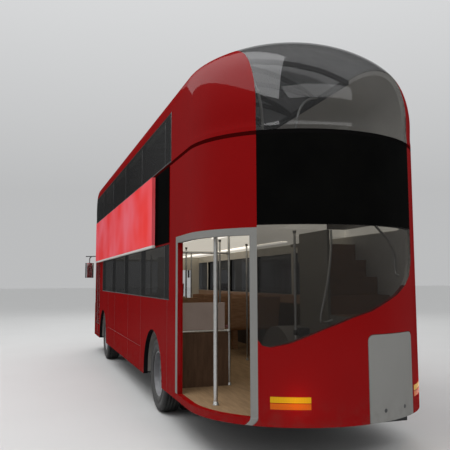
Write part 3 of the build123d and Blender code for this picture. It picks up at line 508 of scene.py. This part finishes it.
# The underside of the upper deck is the lower saloon's ceiling, which takes the lining with the
# painted glow.
paint_node("upper_floor", floor_wood, ceiling_lining_painted_glow, chooser=lambda c, n: int(n.z < 0.5))
paint_node("staircase", stair_wall_paint, step_wood,
           chooser=lambda c, n: int(abs(c.y - stair_wall_y) >= 0.02 or abs(n.z) >= 0.5))
paint_node("entrance_screen", brown, beige, chooser=lambda c, n: int(c.z > screen_split))
paint_node("mirrors", dark_plastic, chrome, chooser=lambda c, n: int(n.x < mirror_facing))
plain_finishes = (
    (seam_paint, ("seam_band",)),
    (board, ("side_boards",)),
    (side_pane, ("side_glass", "front_upper_glass")),
    (clear_pane, ("windscreen",)),
    (rear_pane, ("rear_upper_glass",)),
    (stair_pane, ("rear_lower_glass",)),
    (roof_pane, ("roof_glass",)),
    (black, ("roof_bars",)),
    (lining, ("cab_partition", "cab_door")),
    (dark_lining, ("wheelhouses",)),
    (dark_plastic, ("dash", "steering_wheel", "door_hangers")),
    (ply, ("seat_benches",)),
    (steel, ("handrails", "door_arm_rear", "door_arm_front")),
    (rear_light, ("rear_lamps",)),
    (head_light, ("headlamps",)),
    (chassis_black, ("chassis_frame", "front_axle_beam", "rear_axle", "propshaft", "engine_block",
                     "floor_tanks", "knuckle_nearside", "knuckle_offside")),
    (tyre_rubber, ("front_tyre_nearside", "front_tyre_offside",
                   "rear_tyres_nearside", "rear_tyres_offside")),
    (rim_paint, ("front_rim_nearside", "front_rim_offside",
                 "rear_rims_nearside", "rear_rims_offside")),
)
for material, names in plain_finishes:
    for name in names:
        paint_node(name, material)
for name in ("rear", "front"):
    low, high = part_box(f"door_leaf_{name}")

    def leaf_face(centre, normal, low=low, high=high):
        """Clear pane in the middle of a door leaf."""
        inside = low.x + leaf_stile < centre.x < high.x - leaf_stile
        inside = inside and low.z + leaf_foot < centre.z < high.z - leaf_head
        return int(inside and abs(normal.y) > 0.9 and centre.y > high.y - 0.025)

    paint_node(f"door_leaf_{name}", red, clear_pane, chooser=leaf_face)


# Objects and meshes
def add_object(name, data):
    """A new object in the scene."""
    made = bpy.data.objects.new(name, data)
    bpy.context.scene.collection.objects.link(made)
    return made


def make_piece(name, bm, material, body="body", smooth=True):
    """Turns a bmesh into a piece with one material that rides on a body."""
    bmesh.ops.recalc_face_normals(bm, faces=bm.faces)
    mesh = bpy.data.meshes.new(name)
    bm.to_mesh(mesh)
    bm.free()
    for polygon in mesh.polygons:
        polygon.use_smooth = smooth
    piece = add_object(name, mesh)
    mesh.materials.append(material)
    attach(piece, body)
    return piece


def islands(name):
    """The separate solids of a node, each as a list of its corner points."""
    bm = bmesh.new()
    bm.from_mesh(nodes[name].data)
    bmesh.ops.remove_doubles(bm, verts=bm.verts, dist=1e-5)
    found = []
    seen = set()
    for start in bm.verts:
        if start in seen:
            continue
        group = []
        stack = [start]
        seen.add(start)
        while stack:
            vert = stack.pop()
            group.append(vert.co.copy())
            for edge in vert.link_edges:
                other = edge.other_vert(vert)
                if other not in seen:
                    seen.add(other)
                    stack.append(other)
        found.append(group)
    bm.free()
    return found


def circle(bm, centre, side, third, radius, steps):
    """A ring of points round a centre, in the plane of two directions."""
    angles = (2 * math.pi * k / steps for k in range(steps))
    return [bm.verts.new(centre + (side * math.cos(a) + third * math.sin(a)) * radius) for a in angles]


def join_rings(bm, first, second):
    """Faces between two closed rings with the same number of points."""
    for k in range(len(first)):
        m = (k + 1) % len(first)
        bm.faces.new([first[k], first[m], second[m], second[k]])


# Seat cushions
def cushion(bm, origin, across, along, up, steps=10):
    """A crowned cushion on a plane: sides pulled in between corners, a flat foot, a sewn channel."""
    half_across, half_along, thick = across.length / 2, along.length / 2, up.length
    way_across, way_along, way_up = across.normalized(), along.normalized(), up.normalized()
    pull, foot_share = 0.022, 0.97
    channel_at, channel_width, channel_depth = 0.05, 0.05, 0.004
    rows = []
    for layer in (0, 1):
        grid = []
        for i in range(steps + 1):
            u = -math.cos(math.pi * i / steps)
            line = []
            for j in range(steps + 1):
                v = -math.cos(math.pi * j / steps)
                swell = ((1 - abs(u) ** 5) * (1 - abs(v) ** 5)) ** 0.4
                height = thick * (0.30 + 0.70 * swell)
                height -= channel_depth * math.exp(-((v - channel_at) / channel_width) ** 2) * swell
                a = u * half_across * (1 - pull * (1 - v * v))
                b = v * half_along * (1 - pull * (1 - u * u))
                inset = 1.0 if layer else foot_share
                point = origin + way_across * a * inset + way_along * b * inset
                point += way_up * (height if layer else 0.0)
                line.append(bm.verts.new(point))
            grid.append(line)
        rows.append(grid)
    for layer, grid in enumerate(rows):
        for i in range(steps):
            for j in range(steps):
                corners = [grid[i][j], grid[i + 1][j], grid[i + 1][j + 1], grid[i][j + 1]]
                bm.faces.new(corners if layer else corners[::-1])
    ring = [(i, 0) for i in range(steps)] + [(steps, j) for j in range(steps)]
    ring += [(i, steps) for i in range(steps, 0, -1)] + [(0, j) for j in range(steps, 0, -1)]
    for n, (i, j) in enumerate(ring):
        k, m = ring[(n + 1) % len(ring)]
        bm.faces.new([rows[0][i][j], rows[0][k][m], rows[1][k][m], rows[1][i][j]])


def cushion_frames(name):
    """Centre, Y limits, and the long and the short edge of each pad solid of a node."""
    for points in islands(name):
        left = min(point.y for point in points)
        right = max(point.y for point in points)
        profile = sorted({(round(p.x, 4), round(p.z, 4)) for p in points})
        flat = [Vector((x, 0, z)) for x, z in profile]
        centre = sum(flat, Vector()) / len(flat)
        longest = max(flat, key=lambda p: (p - centre).length)
        near = sorted((p for p in flat if p != longest), key=lambda p: (p - longest).length)
        short, long = near[0] - longest, near[1] - longest
        yield centre, left, right, long, short


pads = bmesh.new()
for centre, left, right, long, short in cushion_frames("seat_pads"):
    up = Vector((-long.z, 0, long.x)).normalized() * short.length
    if up.z < 0 or (abs(long.z) > abs(long.x) and up.x < 0):
        up = -up
    middle = Vector((centre.x, (left + right) / 2, centre.z))
    cushion(pads, middle - up / 2, Vector((0, right - left, 0)), long, up)
seat_cushions = make_piece("seat_cushions", pads, cloth)
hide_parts("seat_pads")


# Tubes and soft blocks
def tube(bm, path, radius, segments=12):
    """A round tube along points, with flat ends."""
    rings = []
    side = None
    for n, point in enumerate(path):
        before = path[n - 1] if n else point
        after = path[n + 1] if n + 1 < len(path) else point
        way = (after - before).normalized()
        if side is None:
            side = way.orthogonal().normalized()
        side = (side - way * side.dot(way)).normalized()
        rings.append(circle(bm, point, side, way.cross(side), radius, segments))
    for first, second in zip(rings, rings[1:]):
        join_rings(bm, first, second)
    bm.faces.new(rings[0][::-1])
    bm.faces.new(rings[-1])


def soft_block(bm, low, high, bevel):
    """A block with rounded edges."""
    made = bmesh.ops.create_cube(bm, size=1.0)["verts"]
    centre = (Vector(low) + Vector(high)) / 2
    size = Vector(high) - Vector(low)
    for vert in made:
        vert.co = Vector((vert.co.x * size.x, vert.co.y * size.y, vert.co.z * size.z)) + centre
    edges = list({edge for vert in made for edge in vert.link_edges})
    bmesh.ops.bevel(bm, geom=edges, offset=bevel, segments=3, affect="EDGES", profile=0.5)


# Driver's seat
seat_low, seat_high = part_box("driver_seat")
seat_mid_y = (seat_low.y + seat_high.y) / 2
base_inset, base_height = 0.08, 0.34
base = bmesh.new()
soft_block(base, (seat_low.x + 2 * base_inset, seat_low.y + base_inset, floor_z),
           (seat_high.x - base_inset, seat_high.y - base_inset, floor_z + base_height), 0.02)
driver_base = make_piece("driver_seat_base", base, dark_plastic)
pad = bmesh.new()
cushion(pad, Vector((seat_low.x + 0.335, seat_mid_y, floor_z + 0.345)), Vector((0, 0.47, 0)),
        Vector((0.45, 0, 0.02)), Vector((0, 0, 0.11)), 14)
cushion(pad, Vector((seat_low.x + 0.055, seat_mid_y, seat_high.z - 0.36)), Vector((0, 0.46, 0)),
        Vector((-0.07, 0, 0.68)), Vector((0.10, 0, 0.01)), 14)
driver_pads = make_piece("driver_seat_cushions", pad, cloth)
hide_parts("driver_seat")
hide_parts("driver_seat")


# Tyres with tread, in place of the plain rings
def lathe(bm, profile, centre, steps, dip=None):
    """Turns a closed profile of (y, radius) points about a line along Y; dip lowers points by step."""
    rings = []
    for k in range(steps):
        angle = 2 * math.pi * k / steps
        ring = []
        for n, (y, radius) in enumerate(profile):
            out = radius - (dip(n, k) if dip else 0.0)
            spot = Vector((math.sin(angle) * out, y, math.cos(angle) * out))
            ring.append(bm.verts.new(centre + spot))
        rings.append(ring)
    for k in range(steps):
        join_rings(bm, rings[k], rings[(k + 1) % steps])


def tyre_profile(wide):
    """Section of a tyre: beads, rounded walls with a raised ring, shoulders and a grooved tread."""
    half = wide / 2
    # Inset from the tyre's side and radius
    wall_side = [(0.012, 0.293), (0.004, 0.312), (0.001, 0.340), (0.0, 0.352), (0.004, 0.356),
                 (0.004, 0.392), (0.0, 0.398), (0.001, 0.425), (0.006, 0.446), (0.016, 0.466),
                 (0.030, 0.478)]
    tread_radius, groove_radius = 0.4795, 0.467
    bead_inset, bead_radius = 0.022, 0.286
    points = [(-half + inset, radius) for inset, radius in wall_side]
    for middle in (-0.062, -0.021, 0.021, 0.062):
        points += [(middle - 0.0065, tread_radius), (middle - 0.0045, groove_radius),
                   (middle + 0.0045, groove_radius), (middle + 0.0065, tread_radius)]
    points += [(half - inset, radius) for inset, radius in reversed(wall_side)]
    points += [(half - bead_inset, bead_radius), (-half + bead_inset, bead_radius)]
    return points


shoulder_points = (9, 10, 27, 28)
rib_points = (15, 18, 19, 22)


def shoulder_dip(n, k):
    """Cross grooves at the shoulders and fine cuts in the ribs, by point of the section and step."""
    if n in shoulder_points:
        return 0.009 if k % 4 == 0 else 0.0
    return 0.004 if n in rib_points and k % 3 == 0 else 0.0


wheel_z = 0.480
stud_count = 10
stud_circle = 0.1375
hole_circle, hole_out = 0.222, 0.0185
hole_wide, hole_tall = 0.030, 0.020
rim_run, rim_drop = 0.104, 0.035
# Distance beyond the wheel's disc and radius
cap_section = [(0.0455, 0.001), (0.0455, 0.060), (0.058, 0.056), (0.064, 0.040), (0.066, 0.001)]
nut_section = [(0.0003, 0.001), (0.0003, 0.021), (0.004, 0.020), (0.005, 0.016), (0.024, 0.0155),
               (0.027, 0.012), (0.027, 0.001)]


def stood_on(section, side, face_y):
    """A lathe profile that stands on a wheel's disc, on one side of the bus."""
    return [(side * (face_y + rise), radius) for rise, radius in section]


def painted_hole_shade(bm, axle_x, side, face_y, angle, corners=18):
    """A dark oval of painted shade on the sloping part of the rim, at an angle round the axle, where a
    hand hole would show the shaded inside of the wheel.
    """
    turned = Matrix.Rotation(-angle, 3, "Y")
    slope = Vector((0, side * rim_run, -rim_drop)).normalized()
    middle = Vector((axle_x, side * (face_y + hole_out), wheel_z))
    middle += turned @ Vector((0, 0, hole_circle))
    across = turned @ Vector((1, 0, 0))
    upwards = turned @ Vector((0, side * rim_drop, rim_run)).normalized()
    edge = []
    for m in range(corners):
        t = 2 * math.pi * m / corners
        spot = across * math.cos(t) * hole_wide + upwards * math.sin(t) * hole_tall
        edge.append(bm.verts.new(middle + spot))
    core = bm.verts.new(middle - turned @ slope * 0.001)
    for m in range(corners):
        bm.faces.new([edge[m], edge[(m + 1) % corners], core])


axle_places = {"front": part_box("front_tyre_nearside"), "rear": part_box("rear_tyres_nearside")}
# Tyre width, number of tyres a side, and how far the disc lies out from the tyre's middle
for axle, node, body, wide, count, dish in (("front", "front_tyre", "front_wheel", 0.270, 1, 0.060),
                                            ("rear", "rear_tyres", "rear_wheels", 0.245, 2, 0.0)):
    low, high = axle_places[axle]
    axle_x = (low.x + high.x) / 2
    outer = high.y - wide / 2
    face_y = outer + dish
    for name, side in sides:
        rides_on = f"{body}_{name}"
        tyre = bmesh.new()
        for y in [outer, low.y + wide / 2][:count]:
            lathe(tyre, tyre_profile(wide), Vector((axle_x, side * y, wheel_z)), 120, shoulder_dip)
        piece = make_piece(f"{axle}_tyre_tread_{name}", tyre, tyre_rubber, rides_on)
        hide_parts(f"{node}_{name}")
        cap = bmesh.new()
        lathe(cap, stood_on(cap_section, side, face_y), Vector((axle_x, 0, wheel_z)), 36)
        make_piece(f"{axle}_hub_cap_{name}", cap, dark_plastic, rides_on)
        nuts = bmesh.new()
        # Dark ovals of painted shade in place of hand holes through the rim.
        hole_shades = bmesh.new()
        for k in range(stud_count):
            angle = 2 * math.pi * (k + 0.5) / stud_count
            spot = Vector((math.sin(angle), 0, math.cos(angle))) * stud_circle
            lathe(nuts, stood_on(nut_section, side, face_y), Vector((axle_x, 0, wheel_z)) + spot, 6)
            painted_hole_shade(hole_shades, axle_x, side, face_y, angle)
        make_piece(f"{axle}_wheel_nuts_{name}", nuts, rim_paint, rides_on, smooth=False)
        make_piece(f"{axle}_painted_hole_shades_{name}", hole_shades, seal, rides_on)


# Rails, sockets and small fittings of the saloon
def curve_points(corners, steps=8):
    """A smooth run through points (Catmull-Rom)."""
    ends = [corners[0] * 2 - corners[1]] + list(corners) + [corners[-1] * 2 - corners[-2]]
    run = []
    for n in range(1, len(ends) - 2):
        a, b, c, d = ends[n - 1:n + 3]
        for k in range(steps):
            t = k / steps
            run.append(0.5 * ((2 * b) + (c - a) * t + (2 * a - 5 * b + 4 * c - d) * t * t
                              + (3 * b - a - 3 * c + d) * t * t * t))
    run.append(ends[-2])
    return run


def stacked_rings(bm, foot, way, side, section, steps):
    """Rings round a line through foot, by radius and rise, each joined to the next."""
    third = way.cross(side)
    rings = [circle(bm, foot + way * rise, side, third, out, steps) for out, rise in section]
    for first, second in zip(rings, rings[1:]):
        join_rings(bm, first, second)
    return rings


def socket(bm, foot, way, radius):
    """A flared socket round the end of a pole, with its foot on a surface."""
    section = [(radius + 0.0015, 0.034), (radius + 0.004, 0.032), (radius + 0.005, 0.010),
               (radius + 0.009, 0.005), (radius + 0.010, 0.0005)]
    rings = stacked_rings(bm, foot, way, way.orthogonal().normalized(), section, 20)
    bm.faces.new(rings[-1])
    bm.faces.new(rings[0])


pole_radius, rail_radius, hoop_radius = 0.0145, 0.013, 0.015
screen_distance, screen_y = 1.910, 0.545
# Distance from the rear end, y and radius
poles = [(0.930, 1.030, 0.022), (screen_distance, screen_y, pole_radius), (1.350, -0.060, pole_radius),
         (3.000, 0.300, pole_radius), (3.800, -0.410, pole_radius), (4.970, 0.260, pole_radius),
         (6.520, -0.260, pole_radius), (8.000, 0.260, pole_radius)]
up, down = Vector((0, 0, 1)), Vector((0, 0, -1))
sockets = bmesh.new()
for distance, y, radius in poles:
    socket(sockets, Vector((from_rear(distance), y, floor_z)), up, radius)
    socket(sockets, Vector((from_rear(distance), y, ceiling_z)), down, radius)
for z in (1.105, 2.030):
    screen_end = Vector((from_rear(screen_distance), half_width - wall, z))
    socket(sockets, screen_end, Vector((0, -1, 0)), pole_radius)
    screen_end.y = screen_y
    socket(sockets, screen_end, Vector((0, 1, 0)), pole_radius + 0.0005)
make_piece("pole_sockets", sockets, dull_steel)

# Stair rails: one up the inner wall, one round the stair well
rails = bmesh.new()
stair_rail = [Vector((from_rear(1.06), y, z)) for y, z in
              ((-0.372, 2.262), (-0.374, 2.15), (-0.360, 1.96), (-0.322, 1.70), (-0.272, 1.48),
               (-0.228, 1.30), (-0.236, 1.245), (-0.290, 1.235), (-0.372, 1.262))]
tube(rails, curve_points(stair_rail), rail_radius + 0.001)
well_rail = [Vector((from_rear(x), y, z)) for x, y, z in
             ((0.430, -0.520, 2.300), (0.500, -0.577, 2.270), (0.510, -0.730, 2.117),
              (0.510, -0.811, 1.950), (0.510, -0.817, 1.782), (0.440, -0.800, 1.740))]
tube(rails, curve_points(well_rail), rail_radius)
make_piece("stair_rails", rails, steel)

# Hoops of the upper deck: two from the floor, four pairs from the seat backs
hoops = bmesh.new()
hoop_feet = bmesh.new()
floor_hoop = ((0.0, deck_z), (0.0, 2.90), (0.0, 3.45), (0.018, 3.70), (0.075, 3.90), (0.180, 4.03),
              (0.330, 4.08))
seat_hoop = ((0.0, 3.20), (0.0, 3.42), (0.016, 3.70), (0.075, 3.92), (0.180, 4.06), (0.320, 4.13))
for distance, y, side in ((1.900, 0.357, -1), (1.300, 0.345, 1)):
    path = [Vector((from_rear(distance), side * (y + out), z)) for out, z in floor_hoop]
    tube(hoops, curve_points(path), hoop_radius)
    socket(hoop_feet, path[0], up, hoop_radius)
for n in range(4):
    for side in (-1, 1):
        path = [Vector((from_rear(3.62 + n * bay), side * (0.315 + out), z)) for out, z in seat_hoop]
        tube(hoops, curve_points(path), rail_radius)
make_piece("upper_hoops", hoops, steel)
make_piece("hoop_feet", hoop_feet, dark_plastic)


# Strip lights under the deck and above the upper windows
def strip(bm, x, long, y, wide, z):
    """A light strip from X on, centred on Y, between two heights."""
    soft_block(bm, (x, y - wide / 2, z[0]), (x + long, y + wide / 2, z[1]), 0.006)


light_z, light_y, light_wide = (ceiling_z - 0.022, ceiling_z - 0.0005), 0.72, 0.10
light_long, light_pitch = 1.16, 1.22
cove_z, cove_y, cove_wide = (3.725, 3.760), 1.155, 0.05
cove_long = bay - 0.004
lights = bmesh.new()
upper_lights = bmesh.new()
for side in (-1, 1):
    for n in range(5):
        x = from_rear(3.05 + n * light_pitch)
        strip(lights, x, light_long, side * light_y, light_wide, light_z)
        x = from_rear(1.96 + n * bay)
        strip(upper_lights, x, cove_long, side * cove_y, cove_wide, cove_z)
strip(lights, from_rear(1.50), 1.10, 0.50, light_wide, light_z)
make_piece("saloon_lights", lights, ceiling_light)
make_piece("upper_lights", upper_lights, cove_light)

# Card reader on the pole by the stairs
reader = bmesh.new()
for x, y, z, bevel in (((1.300, 1.390), (-0.215, -0.080), (1.055, 1.165), 0.012),
                       ((1.325, 1.375), (-0.082, -0.040), (1.080, 1.140), 0.006)):
    soft_block(reader, (from_rear(x[0]), y[0], z[0]), (from_rear(x[1]), y[1], z[1]), bevel)
make_piece("card_reader", reader, dark_plastic)


# Seals and joints of the glazing
def flat_bar(bm, x, z, side, proud=0.0015):
    """A thin bar on the flat flank, between X and Z limits."""
    y = span(side, half_width - 0.002, half_width + proud)
    soft_block(bm, (x[0], y[0], z[0]), (x[1], y[1], z[1]), 0.0006)


def about(middle, half):
    """The two limits of a narrow strip about its middle."""
    return middle - half, middle + half


seals = bmesh.new()
seal_width = 0.012
sill_z, lower_top = 1.470, 2.130
glass_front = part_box("side_glass")[1].x
bay_edges = [from_rear(first_pillar + n * bay) for n in range(5)]
upper_from = from_rear(first_pillar - bay / 5)
sill_seal = (sill_z, sill_z + seal_width)
seam_seal = (seam_high.z, seam_high.z + seal_width)
for name, side in sides:
    flat_bar(seals, (upper_from, glass_front if side > 0 else bay_edges[4]), seam_seal, side)
    flat_bar(seals, (upper_from - seal_width, upper_from), (seam_high.z, window_top), side)
    for x in bay_edges:
        joint = about(x, 0.005)
        flat_bar(seals, joint, (seam_high.z + seal_width, window_top - 0.05), side)
        flat_bar(seals, joint, (sill_z + seal_width, lower_top - seal_width), side)
    flat_bar(seals, (from_rear(2.012), bay_edges[4]), sill_seal, side)
make_piece("window_seals", seals, seal)

# A pale rail under each advertising board
board_low, board_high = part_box("side_boards")
frames = bmesh.new()
for name, side in sides:
    y = span(side, half_width + 0.002, half_width + 0.050)
    soft_block(frames, (board_low.x - 0.010, y[0], board_low.z - 0.034),
               (board_high.x, y[1], board_low.z - 0.0005), 0.004)
make_piece("board_rails", frames, pale_trim)

# Panel joints on the lower flanks
joints = bmesh.new()
joint_half, joint_proud = 0.002, 0.0006
panel_foot, panel_top, panel_belt = 0.405, 1.462, 0.750
for name, side in sides:
    for distance in (2.10, 3.80, 4.95, 6.50, 7.45):
        x = about(from_rear(distance), joint_half)
        flat_bar(joints, x, (panel_foot, panel_top), side, joint_proud)
    belt = about(panel_belt, joint_half)
    flat_bar(joints, (from_rear(3.80), from_rear(7.45)), belt, side, joint_proud)
make_piece("panel_joints", joints, seal)


# Wipers, parked low on the windscreen
def screen_x_at(y):
    """X of the front end's outer face at a distance from the centre line."""
    return bow_x + math.sqrt(bow_radius ** 2 - y * y)


wipers = bmesh.new()
for foot_y, tip_y in ((0.56, -0.02), (-0.34, -0.86)):
    foot_x, middle_y = screen_x_at(foot_y), (foot_y + tip_y) / 2
    knee_x = min(screen_x_at(middle_y) - 0.002, half_length - 0.010)
    arm = [Vector((foot_x + 0.004, foot_y, 1.128)), Vector((foot_x + 0.010, foot_y, 1.150)),
           Vector((knee_x, middle_y + 0.02, 1.235))]
    tube(wipers, curve_points(arm), 0.006)
    blade = []
    for share in (k / 12 for k in range(13)):
        y = foot_y + (tip_y - foot_y) * (0.08 + 0.92 * share)
        blade_x = min(screen_x_at(y) + 0.002, half_length - 0.006)
        blade.append(Vector((blade_x, y, 1.215 + 0.030 * share)))
    tube(wipers, blade, 0.0055, 8)
make_piece("wipers", wipers, seal)

# Door seals and pull handles
leaf_outer = half_width - 0.008
grip_run = ((-0.042, 1.02), (-0.085, 1.05), (-0.090, 1.30), (-0.085, 1.55), (-0.042, 1.58))
for name, way in (("rear", -1), ("front", 1)):
    low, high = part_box(f"door_leaf_{name}")
    edge = high.x if way < 0 else low.x
    x = sorted((edge, edge + way * 0.014))
    edge_seal = bmesh.new()
    soft_block(edge_seal, (x[0], leaf_outer - 0.001, low.z + 0.01),
               (x[1], leaf_outer + 0.002, high.z - 0.055), 0.001)
    make_piece(f"door_seal_{name}", edge_seal, seal, f"door_leaf_{name}")
    grip = bmesh.new()
    path = [Vector((edge + way * 0.085, leaf_outer + out, z)) for out, z in grip_run]
    tube(grip, curve_points(path), 0.011)
    make_piece(f"door_grip_{name}", grip, steel, f"door_leaf_{name}")

# Driver's instruments: a hood with two round dials
cluster_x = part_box("dash")[0].x + 0.235
cluster = bmesh.new()
soft_block(cluster, (cluster_x, -0.86, 1.075), (cluster_x + 0.160, -0.44, 1.190), 0.03)
make_piece("dash_cluster", cluster, dark_plastic)
dials = bmesh.new()
dial_section = [(0.0, 0.001), (0.0, 0.046), (0.004, 0.050), (0.006, 0.050), (0.008, 0.046),
                (0.003, 0.043), (0.003, 0.001)]
for y in (-0.745, -0.555):
    start = len(dials.verts)
    lathe(dials, dial_section, Vector((0, 0, 0)), 30)
    dials.verts.ensure_lookup_table()
    turned = Matrix.Translation((cluster_x + 0.0005, y, 1.135)) @ Matrix.Rotation(math.pi / 2, 4, "Z")
    for vert in dials.verts[start:]:
        vert.co = turned @ vert.co
make_piece("dash_dials", dials, pale_trim)

# Foot of the platform frame's rear post: it runs on down over the skirt and sweeps towards the opening
corner_y = half_width - corner_radius
corner_x = -bow_x - math.sqrt((bow_radius - corner_radius) ** 2 - corner_y ** 2)
foot_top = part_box("platform_frame")[0].z
foot_length = 0.0693
foot_turn = math.asin((rear_glass_half + 0.0005 - corner_y) / corner_radius)
foot_spread, foot_sweep = 0.0675, 0.052
foot_rows, foot_columns = 8, 6
foot = bmesh.new()
layers = []
for out in (-0.004, 0.0015):
    rows = []
    for k in range(foot_rows + 1):
        row = []
        for n in range(foot_columns + 1):
            turn = foot_turn + foot_spread * n / foot_columns + foot_sweep * (k / foot_rows) ** 2
            row.append(foot.verts.new((corner_x - (corner_radius + out) * math.cos(turn),
                                       corner_y + (corner_radius + out) * math.sin(turn),
                                       foot_top - foot_length * k / foot_rows)))
        rows.append(row)
    layers.append(rows)
inner, outer = layers
for k in range(foot_rows):
    for n in range(foot_columns):
        for rows in layers:
            foot.faces.new([rows[k][n], rows[k][n + 1], rows[k + 1][n + 1], rows[k + 1][n]])
    for n in (0, foot_columns):
        foot.faces.new([inner[k][n], inner[k + 1][n], outer[k + 1][n], outer[k][n]])
for n in range(foot_columns):
    for k in (0, foot_rows):
        foot.faces.new([inner[k][n], inner[k][n + 1], outer[k][n + 1], outer[k][n]])
make_piece("frame_foot", foot, grey)

# Latches of the service hatch
latch = bmesh.new()
latch_z = 0.50
latch_section = [(0.0005, 0.0012), (0.016, 0.0012), (0.0185, 0.0006), (0.0185, -0.002)]
for y in (-0.335, -0.615):
    angle = math.asin(-y / bow_radius)
    outward = Vector((-math.cos(angle), -math.sin(angle), 0))
    side_way = Vector((math.sin(angle), -math.cos(angle), 0))
    centre = Vector((-bow_x, 0, latch_z)) + outward * bow_radius
    stacked_rings(latch, centre, outward, side_way, latch_section, 24)
make_piece("hatch_latches", latch, dark_plastic, "engine_hatch")

# Camera at the photograph's viewpoint
camera_place = Vector((-10.10, 2.816, 1.705))
camera_yaw = 0.329
camera_pitch = 0.096
camera_roll = -0.003
ahead = Vector((math.cos(camera_yaw) * math.cos(camera_pitch),
                -math.sin(camera_yaw) * math.cos(camera_pitch), math.sin(camera_pitch)))
right = ahead.cross(Vector((0, 0, 1))).normalized()
upward = right.cross(ahead)
right, upward = (right * math.cos(camera_roll) + upward * math.sin(camera_roll),
                 upward * math.cos(camera_roll) - right * math.sin(camera_roll))
camera_data = bpy.data.cameras.new("camera")
camera_data.sensor_width = 36.0
camera_data.lens = 45.66
camera_data.clip_end = 400
camera = add_object("camera", camera_data)
facing = Matrix((right, upward, -ahead)).transposed().to_4x4()
camera.matrix_world = Matrix.Translation(camera_place) @ facing
bpy.context.scene.camera = camera

# Floor
floor_mesh = bpy.data.meshes.new("studio_floor")
reach = 120.0
floor_corners = [(-reach, -reach, 0), (reach, -reach, 0), (reach, reach, 0), (-reach, reach, 0)]
floor_mesh.from_pydata(floor_corners, [], [(0, 1, 2, 3)])
studio_floor = add_object("studio_floor", floor_mesh)
floor_material, tree, shader = new_material("studio_floor")
mottle = noise(tree, 0.8, 4)
set_colour(shader, blend_colour(tree, mottle, rgb(0.50, 0.50, 0.495), rgb(0.54, 0.54, 0.535)))
settings(shader, Roughness=0.75)
floor_mesh.materials.append(floor_material)

# Light: a sky that is bright above and dim along the horizon, and large soft lamps
world = bpy.data.worlds.new("studio")
bpy.context.scene.world = world
world.use_nodes = True
tree = world.node_tree
background = tree.nodes["Background"]
coordinates = tree.nodes.new("ShaderNodeTexCoord")
split = tree.nodes.new("ShaderNodeSeparateXYZ")
tree.links.new(coordinates.outputs["Generated"], split.inputs["Vector"])
rise = remap(tree, split.outputs["Z"], 0.15, 0.75)
sky = blend_colour(tree, rise, rgb(0.50, 0.505, 0.51), rgb(0.86, 0.87, 0.88))
tree.links.new(sky, background.inputs["Color"])
settings(background, Strength=1.0)


def soft_lamp(name, place_at, aim, size, power):
    """A large area lamp turned towards a point."""
    data = bpy.data.lights.new(name, "AREA")
    data.shape = "RECTANGLE"
    data.size, data.size_y = size
    data.energy = power
    lamp = add_object(name, data)
    lamp.location = place_at
    lamp.rotation_euler = (Vector(aim) - Vector(place_at)).to_track_quat("-Z", "Y").to_euler()


soft_lamp("key", (-4.3, 7.8, 14.6), (-5, 0, 3), (12, 7), 950)
soft_lamp("rear_fill", (-16, -1, 11), (-5, 0, 2), (14, 5), 520)
soft_lamp("front_fill", (15, -7, 10), (4, 0, 2), (12, 6), 520)

# The lit rear lamps warm the paint round them
nearside_glow = (-bow_x - math.sqrt(bow_radius ** 2 - 0.585 ** 2) - 0.14, 0.585, 0.625)
offside_glow = (-5.14, -1.05, 0.625)
for glow_place in (nearside_glow, offside_glow):
    data = bpy.data.lights.new("lamp_glow", "POINT")
    data.energy = 0.6
    data.color = (1.0, 0.40, 0.03)
    data.shadow_soft_size = 0.05
    glow_lamp = add_object("lamp_glow", data)
    glow_lamp.location = glow_place
    glow_lamp.visible_glossy = False
    glow_lamp.visible_camera = False

# A lit panel overhead that only gloss answers to, for the highlights on the rear corner and its glass.
# Its corners lie that far from the highlight in X and Y for each metre of rise.
panel_mesh = bpy.data.meshes.new("sky_panel")
panel_rise = 8.0
panel_slopes = ((0.0, -0.09), (2.4, -0.09), (2.4, 1.30), (-2.25, 1.35))
highlight = Vector((-5.10, 0.80, 3.75))
panel_corners = [highlight + Vector((x, y, 1)) * panel_rise for x, y in panel_slopes]
panel_mesh.from_pydata(panel_corners, [], [(3, 2, 1, 0)])
sky_panel = add_object("sky_panel", panel_mesh)
panel_material, tree, shader = new_material("sky_panel")
settings(shader, Base_Color=rgb(0, 0, 0), Emission_Strength=5.4)
glare = blend_colour(tree, noise(tree, 0.3, 2), rgb(0.96, 0.97, 1.0), rgb(1.0, 1.0, 1.0))
tree.links.new(glare, shader.inputs["Emission Color"])
panel_mesh.materials.append(panel_material)
sky_panel.visible_camera = False
sky_panel.visible_diffuse = False
sky_panel.visible_transmission = False
sky_panel.visible_shadow = False

bpy.context.scene.view_settings.view_transform = "Standard"
